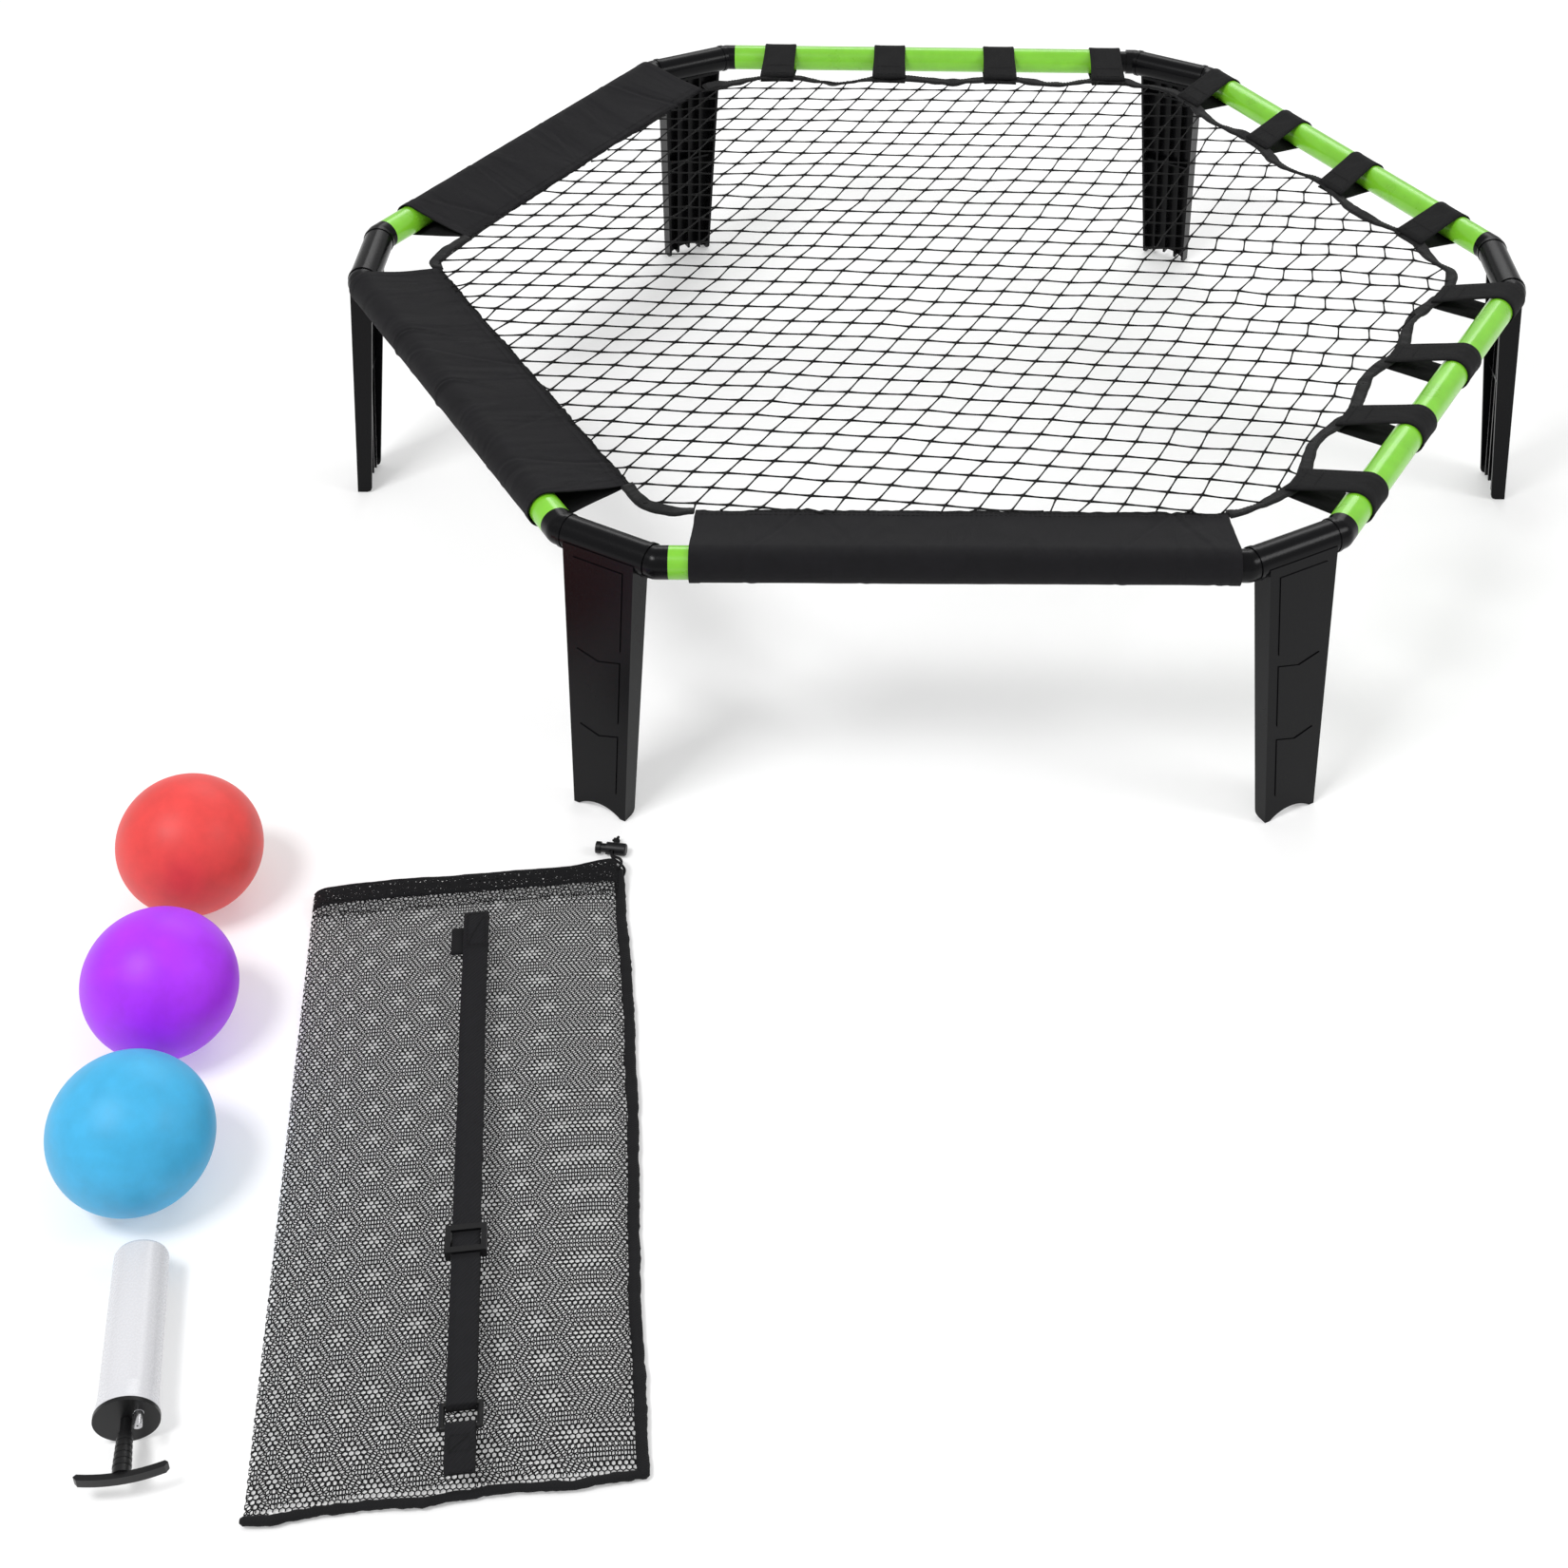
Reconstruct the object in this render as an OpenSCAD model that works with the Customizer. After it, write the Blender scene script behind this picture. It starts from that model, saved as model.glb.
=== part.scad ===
// Roundnet set: six legged hexagonal net ring, three balls, hand pump and mesh
// drawstring bag. Millimetres, +Z up, floor at z = 0, ring centre at the origin.

/* [Ring] */
// Ring centre to the axis of each corner sleeve
corner_r = 440; // [430:1:450]
// Height of the tube axes above the floor
axis_h = 202; // [195:1:210]
// Outside diameter of the rail tubes
tube_d = 22; // [21:0.1:22]
// Wall of the rail tubes
tube_wall = 1.5; // [1.2:0.1:2]
// Half length of the sleeve at the top of each leg
sleeve_half = 33.3; // [30:0.1:34]
// Outward lean of each leg
leg_splay = 4.9; // [3:0.1:6]

/* [Net] */
// Drop of the slack net at its middle
net_sag = 14; // [8:1:20]
// Thickness of the closed sheet that stands for the net
net_t = 1.6; // [1.2:0.1:2]
// Width of the edge binding tape
tape_w = 10; // [8:0.5:10]
// Width of each net tab
tab_w = 30; // [26:1:32]

/* [Balls] */
// Outside diameter of each ball
ball_d = 90; // [86:1:92]
// Wall of each ball
ball_wall = 1.8; // [1.5:0.1:2.5]

/* [Pump] */
// Outside radius of the barrel at the outlet end
barrel_r = 14.25; // [13.8:0.05:14.6]
// Length of the T bar
grip_w = 45; // [40:1:50]

/* [Bag] */
// Bag width
bag_w = 200; // [196:1:204]
// Height of the flat empty bag
bag_t = 13.5; // [13:0.1:14]
// Shoulder strap webbing width
strap_w = 15.4; // [14:0.1:16]
// Drawcord diameter
cord_d = 1.9; // [1.7:0.1:1.9]

/* [Hidden] */

tube_r = tube_d / 2;
rail_id = tube_r - tube_wall;
spigot_r = rail_id - 0.05;
journal_r = 8;
bore_r = 8.05;
bend_t = sleeve_half + 3.7;
apothem = corner_r * cos(30) + bend_t * sin(30);
half_span = corner_r * 0.5 - bend_t * cos(30);
collar_l = 8;
rail_half = half_span - collar_l;
spigot_l = 25;

green = [0.55, 0.84, 0.25];
plastic_black = [0.03, 0.03, 0.035];
fabric_black = [0.05, 0.05, 0.055];

// ---- shared shapes and places -------------------------------------------

module at_corner(i) {
  rotate([0, 0, 60 * i])
    translate([corner_r, 0, axis_h])
      children();
}

module at_side(i) {
  rotate([0, 0, 60 * i + 30])
    translate([apothem, 0, axis_h])
      children();
}

// Plan point on side i: s along it from its middle, y inward from the rail axis.
function rp(i, s, y) =
  let (a = 60 * i + 30)
  [(apothem - y) * cos(a) - s * sin(a), (apothem - y) * sin(a) + s * cos(a)];

module yz_prism(pts, x0, x1) {
  translate([x0, 0, 0])
    rotate([90, 0, 90])
      linear_extrude(height = x1 - x0)
        polygon(pts);
}

module xz_prism(pts, y0, y1) {
  translate([0, y1, 0])
    rotate([90, 0, 0])
      linear_extrude(height = y1 - y0)
        polygon(pts);
}

module box(lo, hi) {
  translate(lo)
    cube([hi[0] - lo[0], hi[1] - lo[1], hi[2] - lo[2]]);
}

// Loop of cloth round a tube, drawn in to a tip at local -X.
function tear(r, tip, n) =
  let (b = 180 - acos(r / tip))
  concat([for (k = [0 : n]) let (a = b - 2 * b * k / n) [r * cos(a), r * sin(a)]], [[-tip, 0]]);

function unit(v) = v / norm(v);

// Tangent of an open path at point k.
function tang(p, k) =
  unit(p[min(k + 1, len(p) - 1)] - p[max(k - 1, 0)]);

function side_line(p, d) =
  [for (k = [0 : len(p) - 1]) let (t = tang(p, k)) p[k] + d * [-t[1], t[0]]];

function reversed(p) = [for (k = [len(p) - 1 : -1 : 0]) p[k]];

function cr(a, b, c, d, t) =
  0.5 * (2 * b + (c - a) * t + (2 * a - 5 * b + 4 * c - d) * t * t + (3 * b - a - 3 * c + d) * t * t * t);

// Smooth path through hand placed points, m steps to each span.
function smooth(p, m) =
  concat(
    [for (k = [0 : len(p) - 2]) for (j = [0 : m - 1])
      cr(p[max(k - 1, 0)], p[k], p[k + 1], p[min(k + 2, len(p) - 1)], j / m)],
    [p[len(p) - 1]]);

// Round tube swept along a 3-D path as one closed solid.
module tube_along(p, r, n, up) {
  c = len(p);
  ring = [for (k = [0 : c - 1])
    let (t = tang(p, k), a = unit(cross(t, up)), b = cross(a, t))
    for (j = [0 : n - 1])
      p[k] + r * (cos(360 * j / n) * a + sin(360 * j / n) * b)];
  walls = [for (k = [0 : c - 2]) for (j = [0 : n - 1])
    [k * n + j, k * n + (j + 1) % n, (k + 1) * n + (j + 1) % n, (k + 1) * n + j]];
  first = [for (j = [n - 1 : -1 : 0]) j];
  last = [for (j = [0 : n - 1]) (c - 1) * n + j];
  polyhedron(points = ring, faces = concat(walls, [first], [last]), convexity = 6);
}

// ---- ring frame ----------------------------------------------------------

module rail(i) {
  color(green)
    at_side(i)
      rotate([90, 0, 0])
        translate([0, 0, -rail_half])
          difference() {
            cylinder(r = tube_r, h = 2 * rail_half - (i == 1 ? 8 : 0), $fn = 96);
            translate([0, 0, -1])
              cylinder(r = rail_id, h = 2 * rail_half + 2, $fn = 96);
          }
}

// One elbow: journal in the sleeve, collar at the bend, spigot in the rail.
module elbow() {
  difference() {
    union() {
      translate([0, 0.5, 0])
        rotate([-90, 0, 0])
          cylinder(r = journal_r, h = bend_t - 0.5, $fn = 64);
      difference() {
        union() {
          translate([0, bend_t, 0])
            sphere(r = tube_r, $fn = 64);
          translate([0, sleeve_half + 0.3, 0])
            rotate([-90, 0, 0])
              cylinder(r = tube_r, h = bend_t - sleeve_half - 0.3, $fn = 96);
          translate([0, bend_t, 0])
            rotate([0, 0, 30])
              rotate([-90, 0, 0])
                cylinder(r = tube_r, h = collar_l, $fn = 96);
        }
        box([-20, -5, -20], [20, sleeve_half + 0.3, 20]);
      }
      translate([0, bend_t, 0])
        rotate([0, 0, 30])
          rotate([-90, 0, 0])
            translate([0, 0, 3])
              cylinder(r = spigot_r, h = collar_l + spigot_l - 3, $fn = 64);
    }
    rotate([-90, 0, 0])
      cylinder(r = 5.8, h = bend_t, $fn = 48);
    translate([0, bend_t, 0])
      sphere(r = 5.8, $fn = 48);
    translate([0, bend_t, 0])
      rotate([0, 0, 30])
        rotate([-90, 0, 0])
          cylinder(r = 5.8, h = collar_l + spigot_l + 1, $fn = 48);
  }
}

module elbow_pair(i) {
  color(plastic_black)
    at_corner(i) {
      elbow();
      mirror([0, 1, 0])
        elbow();
    }
}

face_x = 11.8;
leg_low = -axis_h - 6;

function half_w(z) = 27.5 + (z + 1) * 6.5 / 202;

function outline(top, bottom, inset) = [
  [-half_w(top) + inset, top],
  [half_w(top) - inset, top],
  [half_w(bottom) - inset, bottom],
  [-half_w(bottom) + inset, bottom]
];

// Raised plate on the outer face, its edges dipping at mid width like a shallow V.
module face_plate(top, top_dip, bottom, bottom_dip) {
  yz_prism([
    [-half_w(top) + 8, top],
    [0, top - top_dip],
    [half_w(top) - 8, top],
    [half_w(bottom) - 8, bottom],
    [0, bottom - bottom_dip],
    [-half_w(bottom) + 8, bottom]
  ], face_x - 0.5, face_x + 0.7);
}

module leg_body() {
  // channel: panel and two flanges, open toward the ring centre
  intersection() {
    difference() {
      yz_prism(outline(-1, leg_low, 0), -8, face_x);
      yz_prism(outline(-12.5, leg_low - 2, 2.2), -9, face_x - 2.5);
    }
    xz_prism([
      [face_x, 0], [face_x - 17, 0], [face_x - 11.2, -axis_h + 2.6],
      [face_x - 10.7, -axis_h + 0.8], [face_x - 9.6, -axis_h - 0.3], [face_x - 8, -axis_h - 0.7],
      [face_x - 8, leg_low], [face_x, leg_low]
    ], -40, 40);
  }
  // stiffening ribs inside the channel
  intersection() {
    yz_prism(outline(-10, leg_low, 1), -8, face_x);
    union() {
      for (y = [-11, 0, 11])
        box([face_x - 9.5, y - 1, leg_low], [face_x - 1, y + 1, -11]);
      for (z = [-30, -100])
        box([face_x - 9.5, -40, z - 1], [face_x - 1, 40, z + 1]);
    }
  }
  face_plate(-9, 0, -69, 4.5);
  face_plate(-78, 4.5, -126, 4.5);
  face_plate(-137, 4.5, -184, 0);
  // sleeve with a lip at each end
  rotate([90, 0, 0]) {
    translate([0, 0, -sleeve_half])
      cylinder(r = 11.2, h = 2 * sleeve_half, $fn = 96);
    translate([0, 0, -sleeve_half])
      cylinder(r = 11.8, h = 2.5, $fn = 96);
    translate([0, 0, sleeve_half - 2.5])
      cylinder(r = 11.8, h = 2.5, $fn = 96);
  }
}

module leg(i) {
  color(plastic_black)
    at_corner(i)
      difference() {
        rotate([0, -leg_splay, 0])
          difference() {
            leg_body();
            translate([-12, 0, -axis_h - 1.8 - 21.1])
              rotate([0, 90, 0])
                cylinder(r = 27.1, h = 40, $fn = 96);
          }
        rotate([90, 0, 0])
          translate([0, 0, -40])
            cylinder(r = bore_r, h = 80, $fn = 64);
        box([-40, -60, -axis_h - 30], [60, 60, -axis_h]);
      }
}

// ---- net, binding, tabs and covers ---------------------------------------

tape_y = 57;
tape_half = tape_w / 2;
// ends of each cover along its rail, from the rail's middle
front_cover = [-167, 183];
left_front_cover = [-181, 163];
left_back_cover = [-181, 152];
// middles of the tabs along each rail
right_front_tabs = [-140, -40, 60, 168];
right_back_tabs = [-137, -30, 66, 168];
back_tabs = [-160, -62, 38, 138];
// how far the cover and tab loops reach inward from the rail axis
cover_tip = 61.5;
tab_tip = 40.5;

path_a = [rp(3, 163.8, tape_y), rp(3, 178, 57.5), rp(3, 190, 60), rp(4, -190, 60), rp(4, -180, 57.5),
  rp(4, -167.8, tape_y)];
path_f = [rp(2, 152.8, tape_y), rp(2, 175, 58), rp(2, 190, 61), rp(3, -193, 60), rp(3, -181.8, tape_y)];
path_long = [
  rp(4, 183.8, tape_y), rp(4, 192, 61), rp(5, -186, 57), rp(5, -165, 50),
  rp(5, -152, 46), rp(5, -128, 46), rp(5, -92, 51), rp(5, -52, 46), rp(5, -28, 46), rp(5, 12, 50),
  rp(5, 48, 46), rp(5, 72, 46), rp(5, 114, 51.5), rp(5, 156, 46), rp(5, 180, 47),
  rp(5, 199, 53), rp(0, -186, 55), rp(0, -164, 51),
  rp(0, -149, 46), rp(0, -125, 46), rp(0, -84, 51), rp(0, -42, 46), rp(0, -18, 46), rp(0, 18, 52),
  rp(0, 54, 46), rp(0, 78, 46), rp(0, 117, 50), rp(0, 156, 46), rp(0, 180, 47),
  rp(0, 200, 56), rp(1, -190, 55),
  rp(1, -172, 46), rp(1, -148, 46), rp(1, -111, 55), rp(1, -74, 46), rp(1, -50, 46), rp(1, -12, 51),
  rp(1, 26, 46), rp(1, 50, 46), rp(1, 88, 56), rp(1, 126, 46), rp(1, 150, 46),
  rp(1, 183, 62), rp(2, -196, 64), rp(2, -189, 60), rp(2, -181.8, tape_y)
];
edge_a = smooth(path_a, 3);
edge_f = smooth(path_f, 3);
edge_long = smooth(path_long, 2);

module tape_strip(p) {
  translate([0, 0, axis_h - 1.5])
    linear_extrude(height = 3)
      polygon(concat(side_line(p, tape_half), reversed(side_line(p, -tape_half))));
}

// Room kept free of tape round a cover or tab on side i, s along it, y inward to reach.
module keep_clear(i, s0, s1, reach) {
  at_side(i)
    box([-reach, s0 - 0.5, -5], [0, s1 + 0.5, 5]);
}

module net_edge_tape() {
  color(fabric_black)
    difference() {
      union() {
        tape_strip(edge_a);
        tape_strip(edge_f);
        tape_strip(edge_long);
      }
      keep_clear(4, front_cover[0], front_cover[1], cover_tip);
      keep_clear(3, left_front_cover[0], left_front_cover[1], cover_tip);
      keep_clear(2, left_back_cover[0], left_back_cover[1], cover_tip);
      for (s = right_front_tabs)
        keep_clear(5, s - tab_w / 2, s + tab_w / 2, tab_tip + 0.4);
      for (s = right_back_tabs)
        keep_clear(0, s - tab_w / 2, s + tab_w / 2, tab_tip + 0.4);
      for (s = back_tabs)
        keep_clear(1, s - tab_w / 2, s + tab_w / 2, tab_tip + 0.4);
    }
}

function dish(r) = axis_h - 0.8 - net_sag * (1 - r * r / 122500);

module net() {
  rim = concat(side_line(edge_a, tape_half + 0.3), side_line(edge_long, tape_half + 0.3),
    side_line(edge_f, tape_half + 0.3));
  bands = [0, 50, 100, 150, 200, 250, 300, 350, 400];
  color(fabric_black)
    intersection() {
      translate([0, 0, axis_h - 60])
        linear_extrude(height = 90)
          polygon(rim);
      rotate_extrude($fn = 96)
        polygon(concat([for (r = bands) [r, dish(r)]], [for (r = reversed(bands)) [r, dish(r) + net_t]]));
    }
}

module cloth_loop(i, s0, s1, ri, tip_i, ro, tip_o) {
  at_side(i)
    difference() {
      xz_prism(tear(ro, tip_o, 28), s0, s1);
      xz_prism(tear(ri, tip_i, 28), s0 - 1, s1 + 1);
    }
}

module tabs(i, places) {
  color(fabric_black)
    for (s = places)
      cloth_loop(i, s - tab_w / 2, s + tab_w / 2, 11.5, 37, 12.5, tab_tip);
}

module cover(i, ends) {
  color(fabric_black)
    cloth_loop(i, ends[0], ends[1], 11.6, 58, 12.9, cover_tip);
}

// ---- balls ----------------------------------------------------------------

module ball(c, hue) {
  color(hue)
    translate([c[0], c[1], ball_d / 2])
      rotate([0, -150, 60])
        difference() {
          sphere(r = ball_d / 2, $fn = 96);
          sphere(r = ball_d / 2 - ball_wall, $fn = 96);
          cylinder(r = 3.05, h = ball_d, $fn = 48);
        }
}

module ball_valve(c) {
  color(plastic_black)
    translate([c[0], c[1], ball_d / 2])
      rotate([0, -150, 60])
        difference() {
          union() {
            translate([0, 0, ball_d / 2 - 4.5])
              cylinder(r = 3, h = 4.4, $fn = 48);
            translate([0, 0, ball_d / 2 - 4.5])
              cylinder(r = 4.6, h = 2, $fn = 48);
          }
          translate([0, 0, ball_d / 2 - 6])
            cylinder(r = 0.6, h = 8, $fn = 24);
        }
}

at_red = [-482, -490];
at_purple = [-470, -610];
at_blue = [-457, -722];

// ---- pump -----------------------------------------------------------------

// Local +X runs from the outlet to the T bar.
module at_pump() {
  translate([-441, -776, 16.5])
    rotate([0, 0, -79.5])
      children();
}

module along_x() {
  rotate([0, 90, 0])
    children();
}

module pump_barrel() {
  color([0.93, 0.93, 0.91])
    at_pump()
      difference() {
        along_x()
          rotate_extrude($fn = 96)
            polygon([
              [0, 0], [6.6, 0], [7.2, 0.6], [7.2, 5], [barrel_r - 2, 5], [barrel_r - 0.6, 5.6],
              [barrel_r, 7], [barrel_r + 0.75, 93], [barrel_r + 1.3, 98], [16.2, 102.5],
              [16.2, 104], [0, 104]
            ]);
        along_x()
          translate([0, 0, -1])
            cylinder(r = 3.6, h = 12, $fn = 48);
        along_x()
          translate([0, 0, 8])
            cylinder(r = 12.6, h = 100, $fn = 96);
      }
}

needle_y = 7;
needle_z = 6.3;

module pump_end_cap() {
  color(plastic_black)
    at_pump()
      difference() {
        union() {
          along_x()
            translate([0, 0, 104])
              cylinder(r = 16.5, h = 2.2, $fn = 96);
          along_x()
            translate([0, 0, 96])
              cylinder(r = 12.55, h = 9, $fn = 96);
          along_x()
            translate([0, 0, 71])
              cylinder(r = 4.6, h = 26, $fn = 48);
        }
        along_x()
          cylinder(r = 2.9, h = 120, $fn = 48);
        translate([0, needle_y, needle_z])
          along_x()
            cylinder(r = 2.45, h = 120, $fn = 48);
      }
}

module pump_rod() {
  color(plastic_black)
    at_pump()
      along_x()
        translate([0, 0, 18])
          cylinder(r = 2.85, h = 112, $fn = 48);
}

module pump_piston() {
  color(plastic_black)
    at_pump()
      along_x()
        difference() {
          translate([0, 0, 17])
            cylinder(r = 12, h = 8, $fn = 96);
          translate([0, 0, 18])
            cylinder(r = 2.85, h = 20, $fn = 48);
          translate([0, 0, 19.6])
            difference() {
              cylinder(r = 14, h = 2.8, $fn = 96);
              translate([0, 0, -1])
                cylinder(r = 10.2, h = 5, $fn = 96);
            }
        }
}

module pump_piston_ring() {
  color([0.1, 0.1, 0.1])
    at_pump()
      along_x()
        translate([0, 0, 19.6])
          difference() {
            cylinder(r = 12.54, h = 2.8, $fn = 96);
            translate([0, 0, -1])
              cylinder(r = 10.2, h = 5, $fn = 96);
          }
}

function bow(y) = -3 * y * y / 506;

module pump_handle() {
  ys = [for (k = [-8 : 8]) k * grip_w / 2 / 8.6];
  color(plastic_black)
    at_pump()
      difference() {
        union() {
          along_x()
            translate([0, 0, 114.2])
              cylinder(r1 = 3.7, r2 = 4.65, h = 22.8, $fn = 64);
          for (k = [0 : 4])
            along_x()
              translate([0, 0, 117 + 3.6 * k])
                cylinder(r = 4.1 + 0.15 * k, h = 1.6, $fn = 64);
          translate([0, 0, -2.8])
            linear_extrude(height = 5.6)
              polygon(concat(
                [for (y = ys) [136.8 + bow(y), y]],
                [[138.4 + bow(grip_w / 2), grip_w / 2]],
                [for (y = reversed(ys)) [140.1 + bow(y), y]],
                [[138.4 + bow(grip_w / 2), -grip_w / 2]]));
        }
        along_x()
          translate([0, 0, 100])
            cylinder(r = 2.85, h = 30, $fn = 48);
      }
}

module pump_needle() {
  color([0.8, 0.8, 0.82])
    at_pump()
      translate([0, needle_y, needle_z])
        difference() {
          along_x()
            union() {
              translate([0, 0, 75])
                cylinder(r = 1, h = 24, $fn = 32);
              translate([0, 0, 98])
                cylinder(r = 2.4, h = 17, $fn = 48);
              translate([0, 0, 106.3])
                cylinder(r = 2.55, h = 1.2, $fn = 48);
            }
          along_x()
            translate([0, 0, 70])
              cylinder(r = 0.5, h = 50, $fn = 24);
        }
}

// ---- bag ------------------------------------------------------------------

// Local +Y runs to the mouth, +X to the right edge.
module at_bag() {
  translate([-286, -698, 0])
    rotate([0, 0, 7])
      children();
}

bag_h = bag_w / 2 - 3;
w_low = -216;
w_hem = 203;
w_top = 222.5;
layer = 4.3;
cord_w = 214;
cord_z0 = layer / 2;
cord_z1 = bag_t - layer / 2;
cord_r = cord_d / 2;
strap_u = 8.5;
web = 1;
low_z = bag_t + 0.05;
high_z = bag_t + 4.4;
ring_z = bag_t + 2.725;
ring_top = -176;
ring_low = -189;
slider_w = -76.5;
slider_z = bag_t + 2.1;

module bag_body() {
  color(fabric_black)
    at_bag()
      difference() {
        box([-bag_h, w_low, 0], [bag_h, w_hem, bag_t]);
        box([-bag_h + 1.2, w_low + 1.2, 1.2], [bag_h - 1.2, w_hem + 1, bag_t - 1.2]);
      }
}

module bag_mouth_hem() {
  color(fabric_black)
    at_bag()
      difference() {
        box([-bag_h, w_hem, 0], [bag_h, w_top, bag_t]);
        box([-bag_h + layer, w_hem - 1, layer], [bag_h - layer, w_top + 1, bag_t - layer]);
        for (z = [cord_z0, cord_z1])
          translate([-bag_h + layer / 2, cord_w, z])
            rotate([0, 90, 0])
              cylinder(r = cord_r + 0.4, h = 2 * bag_h, $fn = 32);
        translate([-bag_h + layer / 2, cord_w, cord_z0])
          cylinder(r = cord_r + 0.4, h = cord_z1 - cord_z0, $fn = 32);
        for (z = [cord_z0, cord_z1])
          translate([-bag_h + layer / 2, cord_w, z])
            sphere(r = cord_r + 0.4, $fn = 32);
      }
}

module bag_seam_binding() {
  color(fabric_black)
    at_bag() {
      box([bag_h, w_low - 6.5, 1], [bag_h + 6, w_hem, 8]);
      box([-bag_h, w_low - 6.5, 1], [bag_h, w_low, 8]);
    }
}

module drawcord() {
  color(plastic_black)
    at_bag() {
      for (z = [cord_z0, cord_z1])
        translate([-bag_h + layer / 2, cord_w, z])
          rotate([0, 90, 0])
            cylinder(r = cord_r, h = 2 * bag_h - layer / 2, $fn = 32);
      translate([-bag_h + layer / 2, cord_w, cord_z0])
        cylinder(r = cord_r, h = cord_z1 - cord_z0, $fn = 32);
      for (z = [cord_z0, cord_z1])
        translate([-bag_h + layer / 2, cord_w, z])
          sphere(r = cord_r, $fn = 32);
    }
}

// Free ends of the drawcord, in bag coordinates.
tail_a_points = [
  [bag_h + 0.2, 214, cord_z1], [bag_h + 1.8, 214.3, cord_z1], [bag_h + 2.6, 217, 10.6],
  [bag_h + 3, 222, 9.2], [bag_h + 1.6, 227, 7.2], [bag_h - 2, 231.4, 5.5], [93.65, 234.98, 5.2],
  [94.35, 237.59, 5.2], [95, 240, 5.2], [95.65, 242.41, 5.2], [96.3, 244.83, 5.2],
  [97, 247.4, 4.9], [98.8, 252, 3.4]
];
tail_b_points = [
  [bag_h + 0.2, 214, cord_z0], [bag_h + 2.2, 214.3, cord_z0], [bag_h + 4, 217, 2],
  [bag_h + 4.6, 222, 1.7], [bag_h + 2.4, 227, 2], [bag_h - 1.9, 231.4, 2.9], [93.65, 234.98, 3.2],
  [94.35, 237.59, 3.2], [95, 240, 3.2], [95.65, 242.41, 3.2], [96.3, 244.83, 3.2],
  [97, 247.2, 3], [96.2, 252.6, 1.6]
];

module drawcord_tail(p) {
  color(plastic_black)
    at_bag()
      tube_along(smooth(p, 2), cord_r, 8, [0, 0, 1]);
}

module drawcord_knot() {
  color(plastic_black)
    at_bag()
      translate([97, 247.3, 4])
        sphere(r = 2.7, $fn = 24);
}

// Lock axis: local +X from the button to the closed end, cords cross along +Y.
module at_lock() {
  at_bag()
    translate([95, 240, 4.2])
      rotate([0, 0, -15])
        children();
}

module cord_lock_barrel() {
  color(plastic_black)
    at_lock()
      difference() {
        union() {
          along_x()
            translate([0, 0, -4.5])
              cylinder(r = 4.2, h = 12.5, $fn = 64);
          along_x()
            translate([0, 0, 8])
              cylinder(r1 = 4.2, r2 = 3.4, h = 0.8, $fn = 64);
        }
        along_x()
          translate([0, 0, -6])
            cylinder(r = 3.05, h = 13.6, $fn = 48);
        box([-1.45, -6, -2.25], [1.45, 6, 2.25]);
      }
}

module cord_lock_plunger() {
  color(plastic_black)
    at_lock()
      difference() {
        union() {
          along_x()
            translate([0, 0, -11.5])
              cylinder(r = 3, h = 14.1, $fn = 48);
          along_x()
            translate([0, 0, -11.5])
              cylinder(r = 4, h = 3.2, $fn = 64);
        }
        box([-4.7, -6, -2.2], [1.15, 6, 2.2]);
      }
}

module cord_lock_spring() {
  coil = [for (k = [0 : 36]) let (a = 30 * k) [2.65 + 0.3 + 4.3 * k / 36, 2.1 * cos(a), 2.1 * sin(a)]];
  color([0.7, 0.7, 0.72])
    at_lock()
      tube_along(coil, 0.25, 6, [1, 0, 0]);
}

// Shoulder strap: long run on top, round the ring, short return run beneath.
module shoulder_strap() {
  color(fabric_black)
    at_bag() {
      box([strap_u - strap_w / 2, ring_top, high_z], [strap_u + strap_w / 2, 177, high_z + web]);
      box([strap_u - strap_w / 2, ring_top, low_z], [strap_u + strap_w / 2, slider_w - 7.3, low_z + web]);
      translate([strap_u - strap_w / 2, ring_top, ring_z])
        rotate([0, 90, 0])
          difference() {
            cylinder(r = 2.675, h = strap_w, $fn = 64);
            translate([0, 0, -1])
              cylinder(r = 1.675, h = strap_w + 2, $fn = 64);
            translate([-5, 0, -1])
              cube([10, 10, strap_w + 2]);
          }
    }
}

module strap_top_anchor() {
  color(fabric_black)
    at_bag() {
      box([strap_u - strap_w / 2, 143, bag_t], [strap_u + strap_w / 2, 177, high_z]);
      box([strap_u - strap_w / 2 - 8, 143, bag_t], [strap_u - strap_w / 2, 167, bag_t + 3]);
    }
}

module strap_end_loop() {
  color(fabric_black)
    at_bag()
      translate([strap_u - strap_w / 2, slider_w, slider_z])
        difference() {
          union() {
            rotate([0, 90, 0])
              cylinder(r = 2.05, h = strap_w, $fn = 48);
            box([0, -7, -2.05], [strap_w, -0.5, -1.1]);
          }
          translate([-1, 0, 0])
            rotate([0, 90, 0])
              cylinder(r = 1.1, h = strap_w + 2, $fn = 48);
        }
}

module strap_slider() {
  side = strap_w / 2 + 0.4;
  color(plastic_black)
    at_bag()
      translate([strap_u, slider_w, bag_t]) {
        for (m = [0, 1])
          mirror([m, 0, 0])
            box([side, -9, 1], [side + 3, 9, 7.4]);
        translate([-side - 1, 0, slider_z - bag_t])
          rotate([0, 90, 0])
            cylinder(r = 1.05, h = 2 * side + 2, $fn = 32);
        for (m = [0, 1])
          mirror([0, m, 0])
            box([-side, 5.4, 5.6], [side, 9, 7.4]);
      }
}

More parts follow.
